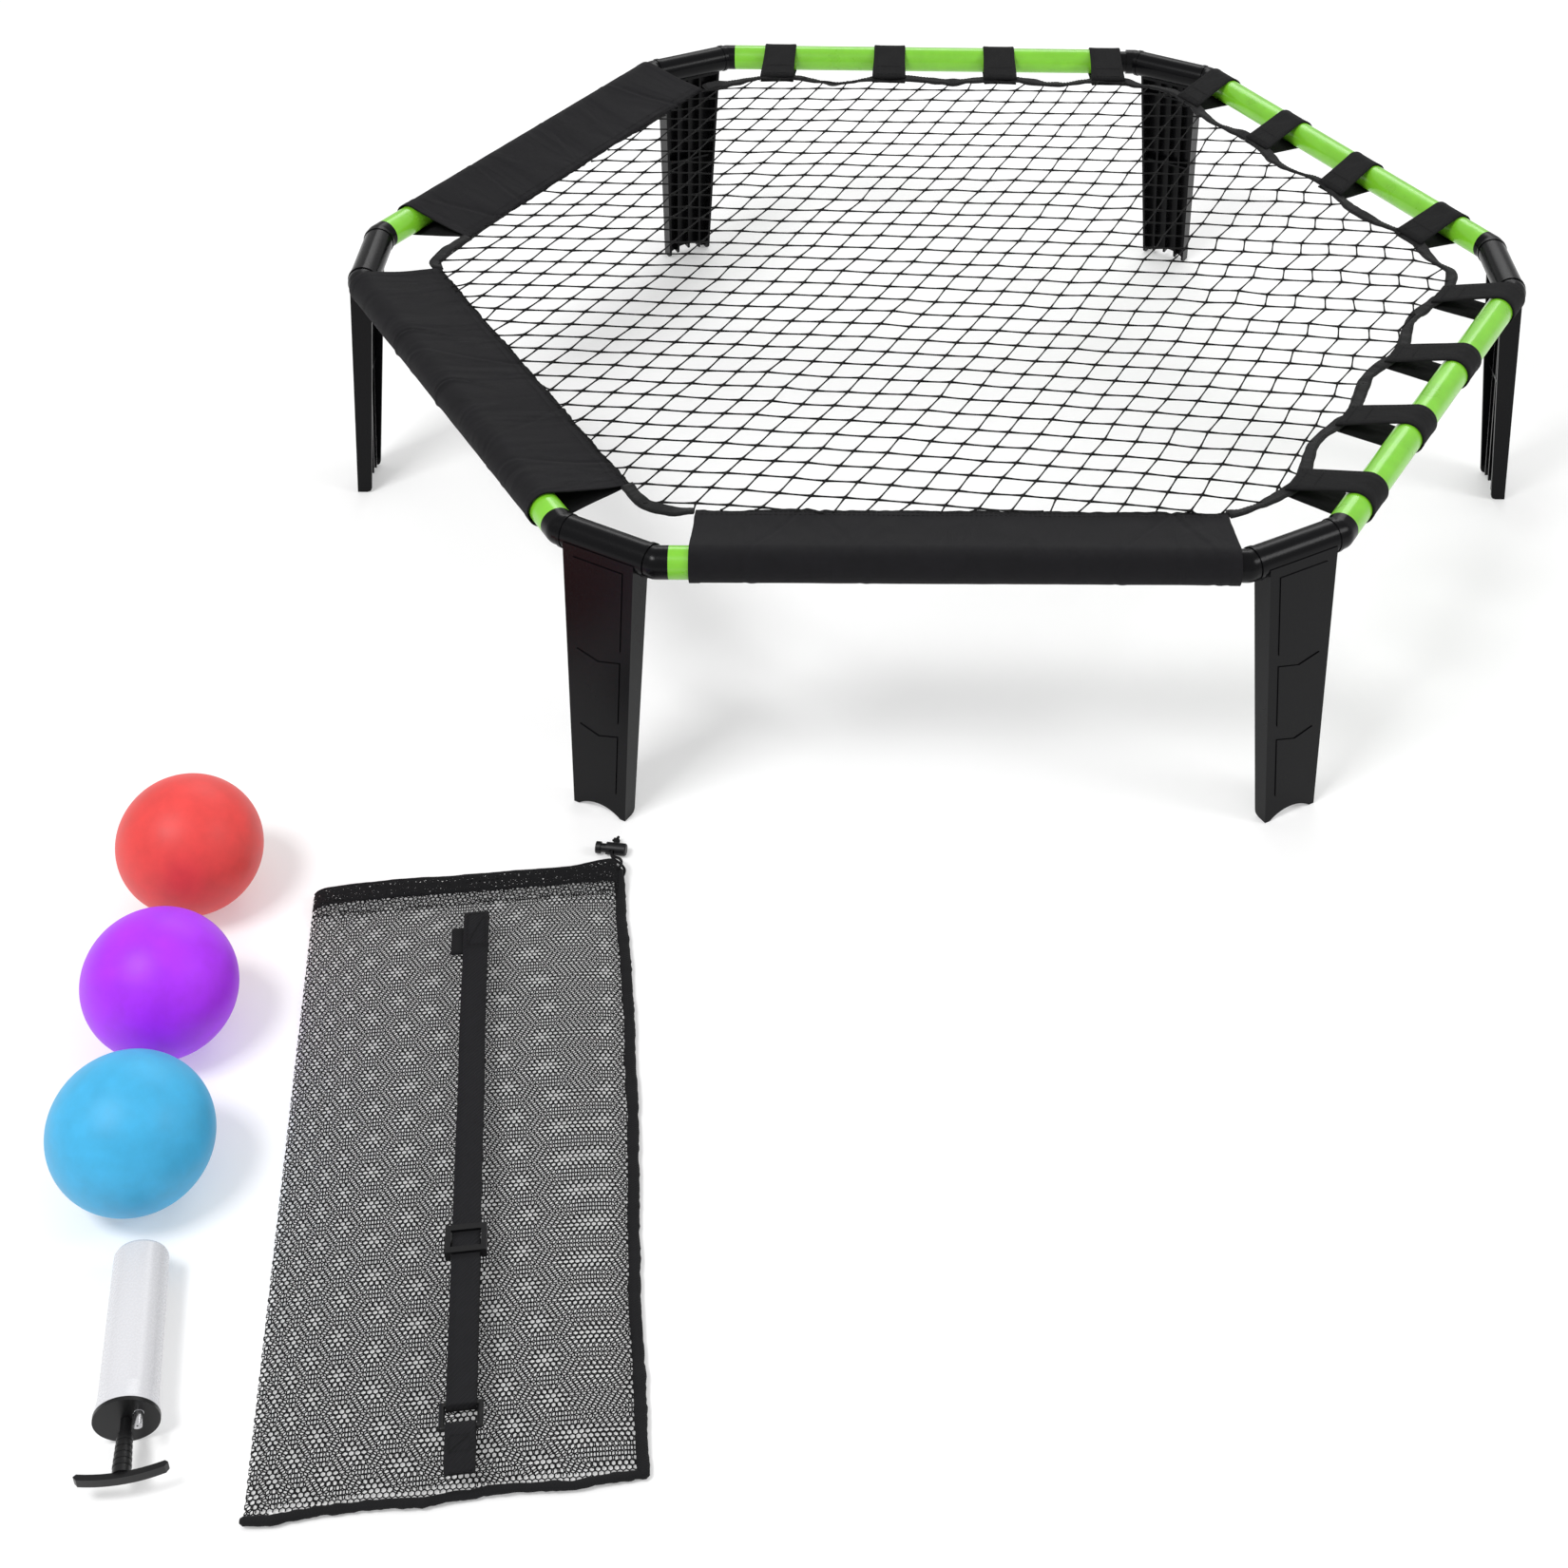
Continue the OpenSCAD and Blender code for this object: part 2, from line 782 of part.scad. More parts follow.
module strap_ring() {
  side = strap_w / 2 + 0.5;
  color(plastic_black)
    at_bag() {
      for (w = [ring_top, ring_low])
        translate([strap_u - side - 1.4, w, ring_z])
          rotate([0, 90, 0])
            cylinder(r = 1.575, h = 2 * side + 2.8, $fn = 48);
      for (m = [-1, 1])
        translate([strap_u + m * (side + 1.4), ring_low, ring_z])
          rotate([-90, 0, 0])
            cylinder(r = 1.575, h = ring_top - ring_low, $fn = 48);
      for (m = [-1, 1])
        for (w = [ring_top, ring_low])
          translate([strap_u + m * (side + 1.4), w, ring_z])
            sphere(r = 1.575, $fn = 48);
    }
}

module strap_bottom_anchor() {
  color(fabric_black)
    at_bag() {
      box([strap_u - strap_w / 2, w_low + 1, high_z], [strap_u + strap_w / 2, ring_low, high_z + web]);
      box([strap_u - strap_w / 2, w_low + 1, low_z], [strap_u + strap_w / 2, ring_low, low_z + web]);
      box([strap_u - strap_w / 2, w_low + 1, low_z], [strap_u + strap_w / 2, w_low + 14, high_z + web]);
      translate([strap_u - strap_w / 2, ring_low, ring_z])
        rotate([0, 90, 0])
          difference() {
            cylinder(r = 2.675, h = strap_w, $fn = 64);
            translate([0, 0, -1])
              cylinder(r = 1.675, h = strap_w + 2, $fn = 64);
            translate([-5, -10, -1])
              cube([10, 10, strap_w + 2]);
          }
    }
}

// ---- pieces ----------------------------------------------------------------

leg(0);  // leg_right
leg(1);  // leg_back_right
leg(2);  // leg_back_left
leg(3);  // leg_left
leg(4);  // leg_front_left
leg(5);  // leg_front_right
elbow_pair(0);  // elbows_right
elbow_pair(1);  // elbows_back_right
elbow_pair(2);  // elbows_back_left
elbow_pair(3);  // elbows_left
elbow_pair(4);  // elbows_front_left
elbow_pair(5);  // elbows_front_right
rail(0);  // rail_right_back
rail(1);  // rail_back
rail(2);  // rail_left_back
rail(3);  // rail_left_front
rail(4);  // rail_front
rail(5);  // rail_right_front
net();
net_edge_tape();
cover(4, front_cover);  // cover_front
cover(3, left_front_cover);  // cover_left_front
cover(2, left_back_cover);  // cover_left_back
tabs(5, right_front_tabs);  // tabs_right_front
tabs(0, right_back_tabs);  // tabs_right_back
tabs(1, back_tabs);  // tabs_back
ball(at_red, [0.88, 0.3, 0.3]);  // ball_red
ball_valve(at_red);  // ball_red_valve
ball(at_purple, [0.68, 0.18, 0.95]);  // ball_purple
ball_valve(at_purple);  // ball_purple_valve
ball(at_blue, [0.27, 0.71, 0.86]);  // ball_blue
ball_valve(at_blue);  // ball_blue_valve
pump_barrel();
pump_end_cap();
pump_rod();
pump_piston();
pump_piston_ring();
pump_handle();
pump_needle();
bag_body();
bag_mouth_hem();
bag_seam_binding();
shoulder_strap();
strap_top_anchor();
strap_end_loop();
strap_slider();
strap_ring();
strap_bottom_anchor();
drawcord();
drawcord_tail(tail_a_points);  // drawcord_tail_a
drawcord_tail(tail_b_points);  // drawcord_tail_b
drawcord_knot();
cord_lock_barrel();
cord_lock_plunger();
cord_lock_spring();
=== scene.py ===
"""Looks of the roundnet set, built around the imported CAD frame. Metres, +Z up, ring centre at 0, 0."""

import random
from math import acos, cos, exp, hypot, pi, radians, sin, sqrt, tan

import bpy
from mathutils import Matrix, Vector, geometry, noise


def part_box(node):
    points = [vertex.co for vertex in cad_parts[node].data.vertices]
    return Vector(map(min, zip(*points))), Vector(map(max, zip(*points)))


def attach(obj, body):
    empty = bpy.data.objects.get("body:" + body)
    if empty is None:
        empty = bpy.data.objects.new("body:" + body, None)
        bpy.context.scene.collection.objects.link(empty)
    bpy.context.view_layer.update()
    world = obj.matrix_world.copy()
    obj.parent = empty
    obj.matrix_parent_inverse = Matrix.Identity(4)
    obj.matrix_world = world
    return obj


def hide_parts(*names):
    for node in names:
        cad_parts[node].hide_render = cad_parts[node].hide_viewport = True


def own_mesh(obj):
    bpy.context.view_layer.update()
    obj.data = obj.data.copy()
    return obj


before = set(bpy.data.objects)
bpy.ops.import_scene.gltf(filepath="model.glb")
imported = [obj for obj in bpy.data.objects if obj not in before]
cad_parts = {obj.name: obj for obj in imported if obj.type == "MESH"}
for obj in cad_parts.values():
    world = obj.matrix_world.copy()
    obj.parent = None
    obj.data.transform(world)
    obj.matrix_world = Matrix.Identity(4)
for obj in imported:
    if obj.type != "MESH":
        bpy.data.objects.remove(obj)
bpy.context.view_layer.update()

MM = 0.001
UP = Vector((0, 0, 1))
random.seed(11)

# ---- places taken from the frame

front_low, front_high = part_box("rail_front")
AXIS_Z = (front_low.z + front_high.z) / 2
TUBE_R = (front_high.z - front_low.z) / 2
APOTHEM = -(front_low.y + front_high.y) / 2
BAG_TURN = radians(7)
BAG_AT = Vector((-286, -698, 0)) * MM
BAG_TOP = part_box("bag_body")[1].z


def on_side(side, s, inward, up=0.0):
    """Point beside a rail in millimetres: s along it from its middle, inward and up from its axis."""
    turn = radians(60 * side + 30)
    reach = APOTHEM - inward * MM
    along = s * MM
    return Vector((
        reach * cos(turn) - along * sin(turn),
        reach * sin(turn) + along * cos(turn),
        AXIS_Z + up * MM,
    ))


def on_bag(across, along, up):
    """Point in the bag's own millimetres: across to its right, along to its mouth, up from the ground."""
    flat = Vector((across * MM, along * MM, up * MM))
    return BAG_AT + Matrix.Rotation(BAG_TURN, 3, "Z") @ flat


def noisy(x, y, z):
    return noise.noise(Vector((x, y, z)))


def wander(value, seed):
    """Smooth noise in -1..1 along one number, the same on every run."""
    return noisy(value, seed * 7.31, seed * 1.7)


def place_object(name, data):
    made = bpy.data.objects.new(name, data)
    bpy.context.scene.collection.objects.link(made)
    return made


def add_thread(solid, name, body="ring_frame"):
    solid.finish(name, "thread", body)


def stand_in(piece, node):
    """Puts a piece in the place of a CAD node, and hides that node."""
    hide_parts(node)
    return piece


# ---- camera, light and floor

CAMERA_AT = Vector((-0.0522, -1.6085, 1.0665))
LOOKS_AT = Vector((0.0, 0.0, 0.0298))
CAMERA_ROLL = radians(1.41)
LENS = 53.68
SHIFT = (-0.0965, -0.2123)
SKY_STRENGTH = 0.62
# place, target, size in metres and power in watts
LAMPS = {
    "key": ((-1.3, -1.5, 2.6), (0, -0.1, 0.1), (1.0, 0.7), 46),
    "fill": ((2.2, -0.9, 1.9), (0, 0, 0.1), (0.8, 0.8), 17),
    "rim": ((0.3, 2.2, 1.9), (0, 0, 0.15), (2.4, 0.9), 24),
}
FLOOR_SPAN = 60
FLOOR_DROP = 0.4 * MM  # keeps the floor clear of the feet, which stand at z = 0
FLOOR_GLOW = 0.25


def add_camera():
    data = bpy.data.cameras.new("camera")
    data.lens = LENS
    data.sensor_width = 36
    data.shift_x, data.shift_y = SHIFT
    camera = place_object("camera", data)
    aim = (LOOKS_AT - CAMERA_AT).to_track_quat("-Z", "Y").to_matrix().to_4x4()
    camera.matrix_world = Matrix.Translation(CAMERA_AT) @ aim @ Matrix.Rotation(CAMERA_ROLL, 4, "Z")
    bpy.context.scene.camera = camera


def add_studio():
    world = bpy.data.worlds.new("studio")
    bpy.context.scene.world = world
    world.use_nodes = True
    sky = world.node_tree.nodes["Background"]
    sky.inputs["Color"].default_value = (1, 1, 1, 1)
    sky.inputs["Strength"].default_value = SKY_STRENGTH
    for name, (at, target, size, power) in LAMPS.items():
        data = bpy.data.lights.new(name, "AREA")
        data.shape = "RECTANGLE"
        data.size, data.size_y = size
        data.energy = power
        lamp = place_object(name, data)
        lamp.location = at
        lamp.rotation_euler = (Vector(target) - Vector(at)).to_track_quat("-Z", "Y").to_euler()
    floor_mesh = bpy.data.meshes.new("floor")
    corners = [(x * FLOOR_SPAN, y * FLOOR_SPAN, 0) for x, y in ((-1, -1), (1, -1), (1, 1), (-1, 1))]
    floor_mesh.from_pydata(corners, [], [(0, 1, 2, 3)])
    floor = place_object("floor", floor_mesh)
    floor.location.z = -FLOOR_DROP
    paint = make_material("floor_paint", (0.74, 0.74, 0.74), 0.8, gloss=0.1)
    glow = shader_of(paint).inputs
    glow["Emission Color"].default_value = (1, 1, 1, 1)
    glow["Emission Strength"].default_value = FLOOR_GLOW
    floor_mesh.materials.append(paint)
    bpy.context.scene.view_settings.view_transform = "Standard"


# ---- materials

GRAIN_LOW, GRAIN_HIGH = 0.3, 0.7  # the part of the noise's range that the grain uses


def shader_of(made):
    return made.node_tree.nodes["Principled BSDF"]


def make_material(name, color, roughness, metallic=0.0, coat=0.0, sheen=0.0, subsurface=0.0, gloss=0.5):
    made = bpy.data.materials.new(name)
    made.use_nodes = True
    finish = {
        "Base Color": (*color, 1), "Roughness": roughness, "Metallic": metallic,
        "Specular IOR Level": gloss, "Coat Weight": coat, "Coat Roughness": 0.12,
        "Sheen Weight": sheen, "Sheen Roughness": 0.5,
        "Subsurface Weight": subsurface, "Subsurface Scale": 4 * MM,
    }
    for key, value in finish.items():
        shader_of(made).inputs[key].default_value = value
    return made


def add_node(made, kind, **values):
    """A shader node with its properties set, and its inputs where a value's name starts with in_."""
    node = made.node_tree.nodes.new("ShaderNode" + kind)
    for key, value in values.items():
        if key.startswith("in_"):
            node.inputs[key[3:].replace("_", " ")].default_value = value
        else:
            setattr(node, key, value)
    return node


def link(made, source, target):
    made.node_tree.links.new(source, target)


def compute(made, operation, *terms):
    """A maths node's result, from sockets and plain numbers."""
    node = add_node(made, "Math", operation=operation)
    for k, term in enumerate(terms):
        if isinstance(term, (int, float)):
            node.inputs[k].default_value = term
        else:
            link(made, term, node.inputs[k])
    return node.outputs[0]


def coordinates(made, uv, stretch=(1, 1, 1)):
    """Where a texture is read: the cloth's UVs, in metres, or the object's own space."""
    place = add_node(made, "TexCoord")
    scaled = add_node(made, "Mapping", in_Scale=stretch)
    link(made, place.outputs["UV" if uv else "Object"], scaled.inputs["Vector"])
    return scaled.outputs["Vector"]


def noise_value(made, where, **values):
    node = add_node(made, "TexNoise", **values)
    link(made, where, node.inputs["Vector"])
    return node.outputs["Fac"]


def remap(made, value, low, high, to_low, to_high):
    """A value whose range from low to high is stretched to another one."""
    node = add_node(made, "MapRange", in_From_Min=low, in_From_Max=high,
                    in_To_Min=to_low, in_To_Max=to_high)
    link(made, value, node.inputs["Value"])
    return node.outputs["Result"]


def stack_bump(made, height, strength, distance):
    """Adds a height to whatever bump the shader already has."""
    shader = shader_of(made)
    bump = add_node(made, "Bump", in_Strength=strength, in_Distance=distance)
    link(made, height, bump.inputs["Height"])
    before = shader.inputs["Normal"].links
    if before:
        link(made, before[0].from_socket, bump.inputs["Normal"])
    link(made, bump.outputs["Normal"], shader.inputs["Normal"])


def add_grain(made, scale, tint, rough, bump, distance, uv=False):
    """Cloudy noise in the colour, by tint, in the roughness, by rough, and as a fine bump."""
    shader = shader_of(made)
    cloud = noise_value(made, coordinates(made, uv), in_Scale=scale, in_Detail=5.0, in_Roughness=0.6)
    if tint:
        base = list(shader.inputs["Base Color"].default_value)
        ramp = add_node(made, "ValToRGB")
        stops = ((GRAIN_LOW, 1 - tint), (GRAIN_HIGH, 1 + tint))
        for stop, (place, shade) in zip(ramp.color_ramp.elements, stops):
            stop.position = place
            stop.color = (*[min(1, c * shade) for c in base[:3]], 1)
        link(made, cloud, ramp.inputs["Fac"])
        link(made, ramp.outputs["Color"], shader.inputs["Base Color"])
    if rough:
        middle = shader.inputs["Roughness"].default_value
        spread = remap(made, cloud, GRAIN_LOW, GRAIN_HIGH, middle - rough, middle + rough)
        link(made, spread, shader.inputs["Roughness"])
    stack_bump(made, cloud, bump, distance)


def add_weave(made, pitch, depth, uv=True, twill=0.0):
    """Over and under threads at a real pitch: two crossed waves, slanted by twill for a rib."""
    where = coordinates(made, uv, (1 / pitch, 1 / pitch, 1 / pitch))
    parts = add_node(made, "SeparateXYZ")
    link(made, where, parts.inputs["Vector"])
    waves = []
    for across, along in (("X", "Y"), ("Y", "X")):
        slant = compute(made, "MULTIPLY_ADD", parts.outputs[along], twill, parts.outputs[across])
        waves.append(compute(made, "SINE", compute(made, "MULTIPLY", slant, 2 * pi)))
    stack_bump(made, compute(made, "MULTIPLY", *waves), 0.8, depth)


def add_scuffs(made, scale, amount):
    """A few long fine scratches that only change the gloss."""
    where = coordinates(made, False, (1, 0.15, 0.4))
    lines = noise_value(made, where, in_Scale=scale, in_Detail=8.0, in_Roughness=0.75)
    cut = remap(made, lines, 0.62, 0.72, 0.0, amount)
    rough = shader_of(made).inputs["Roughness"]
    before = rough.links[0].from_socket if rough.links else rough.default_value
    link(made, compute(made, "ADD", cut, before), rough)


def moulded(name, color, roughness, orange_peel=0.05, gloss=0.28, tint=0.12, wear=0.16):
    made = make_material(name, color, roughness, gloss=gloss)
    add_grain(made, 900, tint, 0.04, 0.2, orange_peel * MM)
    add_scuffs(made, 160, wear)
    return made


def tube_green():
    made = make_material("tube_green", (0.195, 0.56, 0.024), 0.3, coat=0.3, subsurface=0.06)
    add_grain(made, 38, 0.1, 0.05, 0.1, 0.04 * MM)
    add_scuffs(made, 90, 0.14)
    return made


def cloth(name, color, pitch, uv=True, sheen=0.02):
    made = make_material(name, color, 0.82, sheen=sheen, gloss=0.16)
    add_grain(made, 60, 0.22, 0.05, 0.25, 0.25 * MM, uv=uv)
    add_weave(made, pitch, 0.14 * MM, uv=uv)
    return made


def add_wrinkles(made, scale, depth, stretch):
    """Long soft creases, drawn out across the cloth."""
    where = coordinates(made, True, stretch)
    crease = noise_value(made, where, in_Scale=scale, in_Detail=2.5, in_Distortion=0.8)
    stack_bump(made, crease, 0.9, depth)


def webbing(name, color):
    made = make_material(name, color, 0.7, sheen=0.02, gloss=0.18)
    add_grain(made, 140, 0.2, 0.05, 0.2, 0.15 * MM, uv=True)
    add_weave(made, 1.3 * MM, 0.28 * MM, uv=True, twill=0.5)
    return made


def twine(name, color):
    made = make_material(name, color, 0.75, sheen=0.01, gloss=0.15)
    add_weave(made, 0.8 * MM, 0.12 * MM, uv=False, twill=1.0)
    add_grain(made, 500, 0.25, 0.05, 0.3, 0.1 * MM)
    return made


def rubber(name, color):
    made = make_material(name, color, 0.5, subsurface=0.05, sheen=0.04, gloss=0.4)
    add_grain(made, 55, 0.09, 0.05, 0.2, 0.12 * MM)
    add_grain(made, 1500, 0.0, 0.0, 0.35, 0.09 * MM)
    return made


def plated(name):
    made = make_material(name, (0.72, 0.72, 0.74), 0.16, metallic=1.0)
    add_grain(made, 700, 0.06, 0.05, 0.1, 0.02 * MM)
    return made


# ---- mesh building


def distances(path):
    """How far along a path each of its points lies."""
    run = [0.0]
    for a, b in zip(path, path[1:]):
        run.append(run[-1] + (b - a).length)
    return run


class Solid:
    """Points and faces gathered from many small parts into one piece."""

    def __init__(self):
        self.verts = []
        self.faces = []
        self.uvs = []

    def add(self, verts, faces, uvs=None):
        start = len(self.verts)
        self.verts += verts
        self.faces += [tuple(start + k for k in face) for face in faces]
        self.uvs += uvs if uvs else [(0.0, 0.0)] * len(verts)

    def loft(self, rings, caps=True, closed=False):
        """A skin over closed rings of equally many points, with flat ends or joined into a loop."""
        count = len(rings[0])
        faces = []
        last = len(rings) if closed else len(rings) - 1
        for k in range(last):
            here, there = k * count, (k + 1) % len(rings) * count
            for j in range(count):
                step = (j + 1) % count
                faces.append((here + j, here + step, there + step, there + j))
        if caps and not closed:
            faces.append(tuple(reversed(range(count))))
            faces.append(tuple((len(rings) - 1) * count + j for j in range(count)))
        run, around = distances([ring[0] for ring in rings]), distances(rings[0])
        uvs = [(u, v) for u in run for v in around]
        self.add([p for ring in rings for p in ring], faces, uvs)

    def finish(self, name, look, body="ring_frame"):
        """A new piece, riding on a CAD body."""
        mesh = bpy.data.meshes.new(name)
        mesh.from_pydata([tuple(v) for v in self.verts], [], self.faces)
        mesh.materials.append(MATS[look])
        mesh.polygons.foreach_set("use_smooth", [True] * len(mesh.polygons))
        layer = mesh.uv_layers.new(name="cloth")
        for loop in mesh.loops:
            layer.data[loop.index].uv = self.uvs[loop.vertex_index]
        mesh.update()
        piece = place_object(name, mesh)
        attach(piece, body)
        return piece


def catmull(points, steps):
    """Smooth path through given points."""
    ends = [points[0]] + list(points) + [points[-1]]
    path = []
    for k in range(len(points) - 1):
        a, b, c, d = ends[k : k + 4]
        for j in range(steps):
            t = j / steps
            path.append(0.5 * (2 * b + (c - a) * t + (2 * a - 5 * b + 4 * c - d) * t * t
                               + (3 * b - a - 3 * c + d) * t * t * t))
    path.append(points[-1].copy())
    return path


def bag_path(points, steps, step):
    """Smooth path through points on the bag, an even step in millimetres apart."""
    return resample(catmull([on_bag(*p) for p in points], steps), step * MM)


def tangents(path):
    last = len(path) - 1
    return [(path[min(k + 1, last)] - path[max(k - 1, 0)]).normalized() for k in range(last + 1)]


def oval(centre, side, lift, wide, tall, count):
    """Points round an oval whose half sizes are wide along side and tall along lift."""
    turns = [2 * pi * k / count for k in range(count)]
    return [centre + side * (wide * cos(q)) + lift * (tall * sin(q)) for q in turns]


def flat_profile(top):
    """A flat strip's outline in half widths and thicknesses, from the places along its top."""
    return [(-1, 0), *((x, 0.5) for x in top), (1, 0), *((x, -0.5) for x in reversed(top))]


def facing(along, up):
    """The sideways and lift directions at a place on a path."""
    side = along.cross(up).normalized()
    return side, side.cross(along).normalized()


def strip_rings(path, ups, width, thick, bow=0.0, edge=0.35):
    """Flat strip rings along a path: soft rounded edges, width across, thick along ups."""
    rings = []
    half = width / 2
    shoulder = 1 - edge * thick / half
    profile = flat_profile((-shoulder, -0.4, 0.4, shoulder))
    for point, along, up in zip(path, tangents(path), ups):
        side, lift = facing(along, up)
        rings.append([point + side * (x * half) + lift * (z * thick + bow * (1 - x * x))
                      for x, z in profile])
    return rings


def resample(path, step):
    """The same path with points an even step apart."""
    out = [path[0].copy()]
    left = step
    for a, b in zip(path, path[1:]):
        length = (b - a).length
        while left < length:
            out.append(a.lerp(b, left / length))
            left += step
        left -= length
    return out


def add_stitches(solid, path, ups, pitch=3.2 * MM, length=2.1 * MM, radius=0.24 * MM):
    """A row of thread stitches lying along a path, each a small pinched bead."""
    ends = resample(path, pitch)
    for a, b in zip(ends, ends[1:]):
        along = (b - a).normalized()
        middle = (a + b) / 2
        near = min(range(len(path)), key=lambda k: (path[k] - middle).length_squared)
        side, lift = facing(along, ups[near])
        rings = []
        for t, r in ((-0.5, 0.35), (-0.25, 1.0), (0.25, 1.0), (0.5, 0.35)):
            centre = middle + along * (t * length) + lift * (0.1 * radius)
            rings.append(oval(centre, side, lift, radius * r, radius * r, 6))
        solid.loft(rings)


# ---- cloth covers round three rails

COVER_R = 12.7
COVER_TIP = 60.5
COVER_PLY = 0.7
COVER_STEP = 1.5
COVER_HEM = 7
# side, start, stop, creases (place, slope, depth) and laps where the cloth joins (place, depth)
COVERS = {
    "cover_front": (4, -167, 183, ((-118, 0.5, 0.9), (-70, -0.4, 0.6), (120, 0.6, 0.8),
                                   (158, -0.3, 0.9)), ()),
    "cover_left_front": (3, -181, 163, ((-40, 0.6, 0.8), (70, -0.5, 0.7), (120, 0.3, 0.8)),
                         ((-84, 1.6), (-4, 1.7))),
    "cover_left_back": (2, -181, 152, ((-130, -0.3, 1.0), (-20, 0.5, 0.6), (70, 0.25, 0.8),
                                       (125, -0.4, 0.9)), ()),
}


def tear_outline(radius, tip, steps):
    """Closed outline of cloth drawn round a tube to a tip: (inward, up)."""
    lean = acos(radius / tip)
    touch = (radius * cos(lean), radius * sin(lean))
    low = [(tip + (touch[0] - tip) * k / steps, -touch[1] * k / steps) for k in range(steps)]
    round_part = []
    for k in range(2 * steps + 1):
        q = -lean - (2 * pi - 2 * lean) * k / (2 * steps)
        round_part.append((radius * cos(q), radius * sin(q)))
    high = [(touch[0] + (tip - touch[0]) * k / steps, touch[1] * (1 - k / steps))
            for k in range(1, steps + 1)]
    return low + round_part + high[:-1]


COVER_OUTLINE = tear_outline(COVER_R, COVER_TIP, 14)


def cover_flat(inward):
    """How far out on the flat part a point is: 0 on the tube, 1 at the tip."""
    return max(0.0, (inward - 4) / (COVER_TIP - 4))


def cover_rise(side, s, inward, up, folds, laps):
    """How far the cloth stands off its outline: waves, lapped joins and creases."""
    flat = cover_flat(inward)
    pull = noisy(s / 17, inward / 55, side * 3.1)
    broad = noisy(s / 60, inward / 30, side * 5.7 + (2 if up > 0 else 0))
    rise = 1.3 * broad * flat + 0.8 * pull * (0.2 + flat)
    for place, depth in laps:
        gap = (s - place - 0.012 * (inward + 12) ** 2) / 0.9
        fade = min(1.0, max(0.0, (34 - inward) / 14)) * (1 if up > -6 else 0.3)
        rise += depth * fade * (0.6 * exp(-((gap - 2.6) / 2) ** 2) - exp(-gap * gap))
    for place, slope, depth in folds:
        gap = (s - place - slope * (inward - 20)) / 1.9
        rise -= depth * exp(-gap * gap) * min(1.0, 0.35 + 1.2 * flat)
        rise += 0.35 * depth * exp(-((gap - 2.2) ** 2))
    return rise


def cover_rings(side, s, hem, at_end, folds, laps):
    """The cloth's outer and inner faces at one place along the rail."""
    ring_out, ring_in = [], []
    for inward, up in COVER_OUTLINE:
        flat = cover_flat(inward)
        away = hypot(inward, up) or 1
        rise = cover_rise(side, s, inward, up, folds, laps) + hem
        sag = -1.3 * sin(pi * min(1.0, flat)) * (1 if up > 0 else 0.4)
        pucker = 0.9 * wander(s / 5.2, side) + 1.2 * wander(s / 34, side + 4)
        reach = inward + (pucker - 0.5) * flat ** 3
        grow = (rise + sag) * (1 if up >= 0 else -1) if inward > 4 else 0
        radial = 0.0 if inward > 4 else max(-COVER_PLY, rise)
        slide = 0.8 * wander(inward / 14, side + 9) * flat
        x, z = reach + radial * inward / away, up + grow + radial * up / away
        ring_out.append(on_side(side, s + slide * at_end, x, z))
        shrink = COVER_PLY
        if inward >= 40:
            shrink *= max(0.05, (COVER_TIP - inward) / (COVER_TIP - 40))
        sink = shrink * max(-1.0, min(1.0, up / 4))
        draw = shrink * inward / away if inward <= 30 else 0.0
        ring_in.append(on_side(side, s, x - draw, z - sink))
    return ring_out, ring_in


def cover(name, side, start, stop, folds, laps):
    """A sewn sleeve of cloth, drawn tight, with drag lines, a puckered tip and end hems."""
    count = len(COVER_OUTLINE)
    solid = Solid()
    outer, inner = [], []
    stations = int((stop - start) / COVER_STEP)
    for k in range(stations + 1):
        s = start + (stop - start) * k / stations
        hem = 0.35 if min(s - start, stop - s) < COVER_HEM else 0.0
        ring_out, ring_in = cover_rings(side, s, hem, k in (0, stations), folds, laps)
        outer.append(ring_out)
        inner.append(list(reversed(ring_in)))
    solid.loft(outer, caps=False)
    solid.loft(inner, caps=False)
    edge = (stations + 1) * count
    for k in (0, stations):
        for j in range(count):
            step = (j + 1) % count
            a, b = k * count + j, k * count + step
            c, d = edge + k * count + (count - 1 - step), edge + k * count + (count - 1 - j)
            solid.faces.append((a, b, c, d) if k else (b, a, d, c))
    return solid.finish(name, "cover_cloth")


def cover_stitching(name, side, start, stop):
    """Two rows of topstitch near the sewn tip, on the upper face."""
    solid = Solid()
    lean = acos(COVER_R / COVER_TIP)
    for inward in (COVER_TIP - 4.5, COVER_TIP - 9):
        path = []
        for k in range(int((stop - start) / 4)):
            s = start + 3 + 4 * k
            up = (COVER_TIP - inward) / tan(lean) + 0.35
            path.append(on_side(side, s, inward + 0.6 * wander(s / 30, side), up))
        add_stitches(solid, path, [UP] * len(path))
    add_thread(solid, name)


# ---- edge binding and tabs

TAPE_W = 10.0
TAPE_THICK = 2.3
TAB_W = 30.0
TAB_THICK = 1.15
TAB_SIDES = {
    5: ((-140, -6), (-40, -12), (60, -12), (168, -15)),
    0: ((-137, -7), (-30, -15), (66, -12), (168, -14)),
    1: ((-160, 0), (-62, 0), (38, 1), (138, 2)),
}
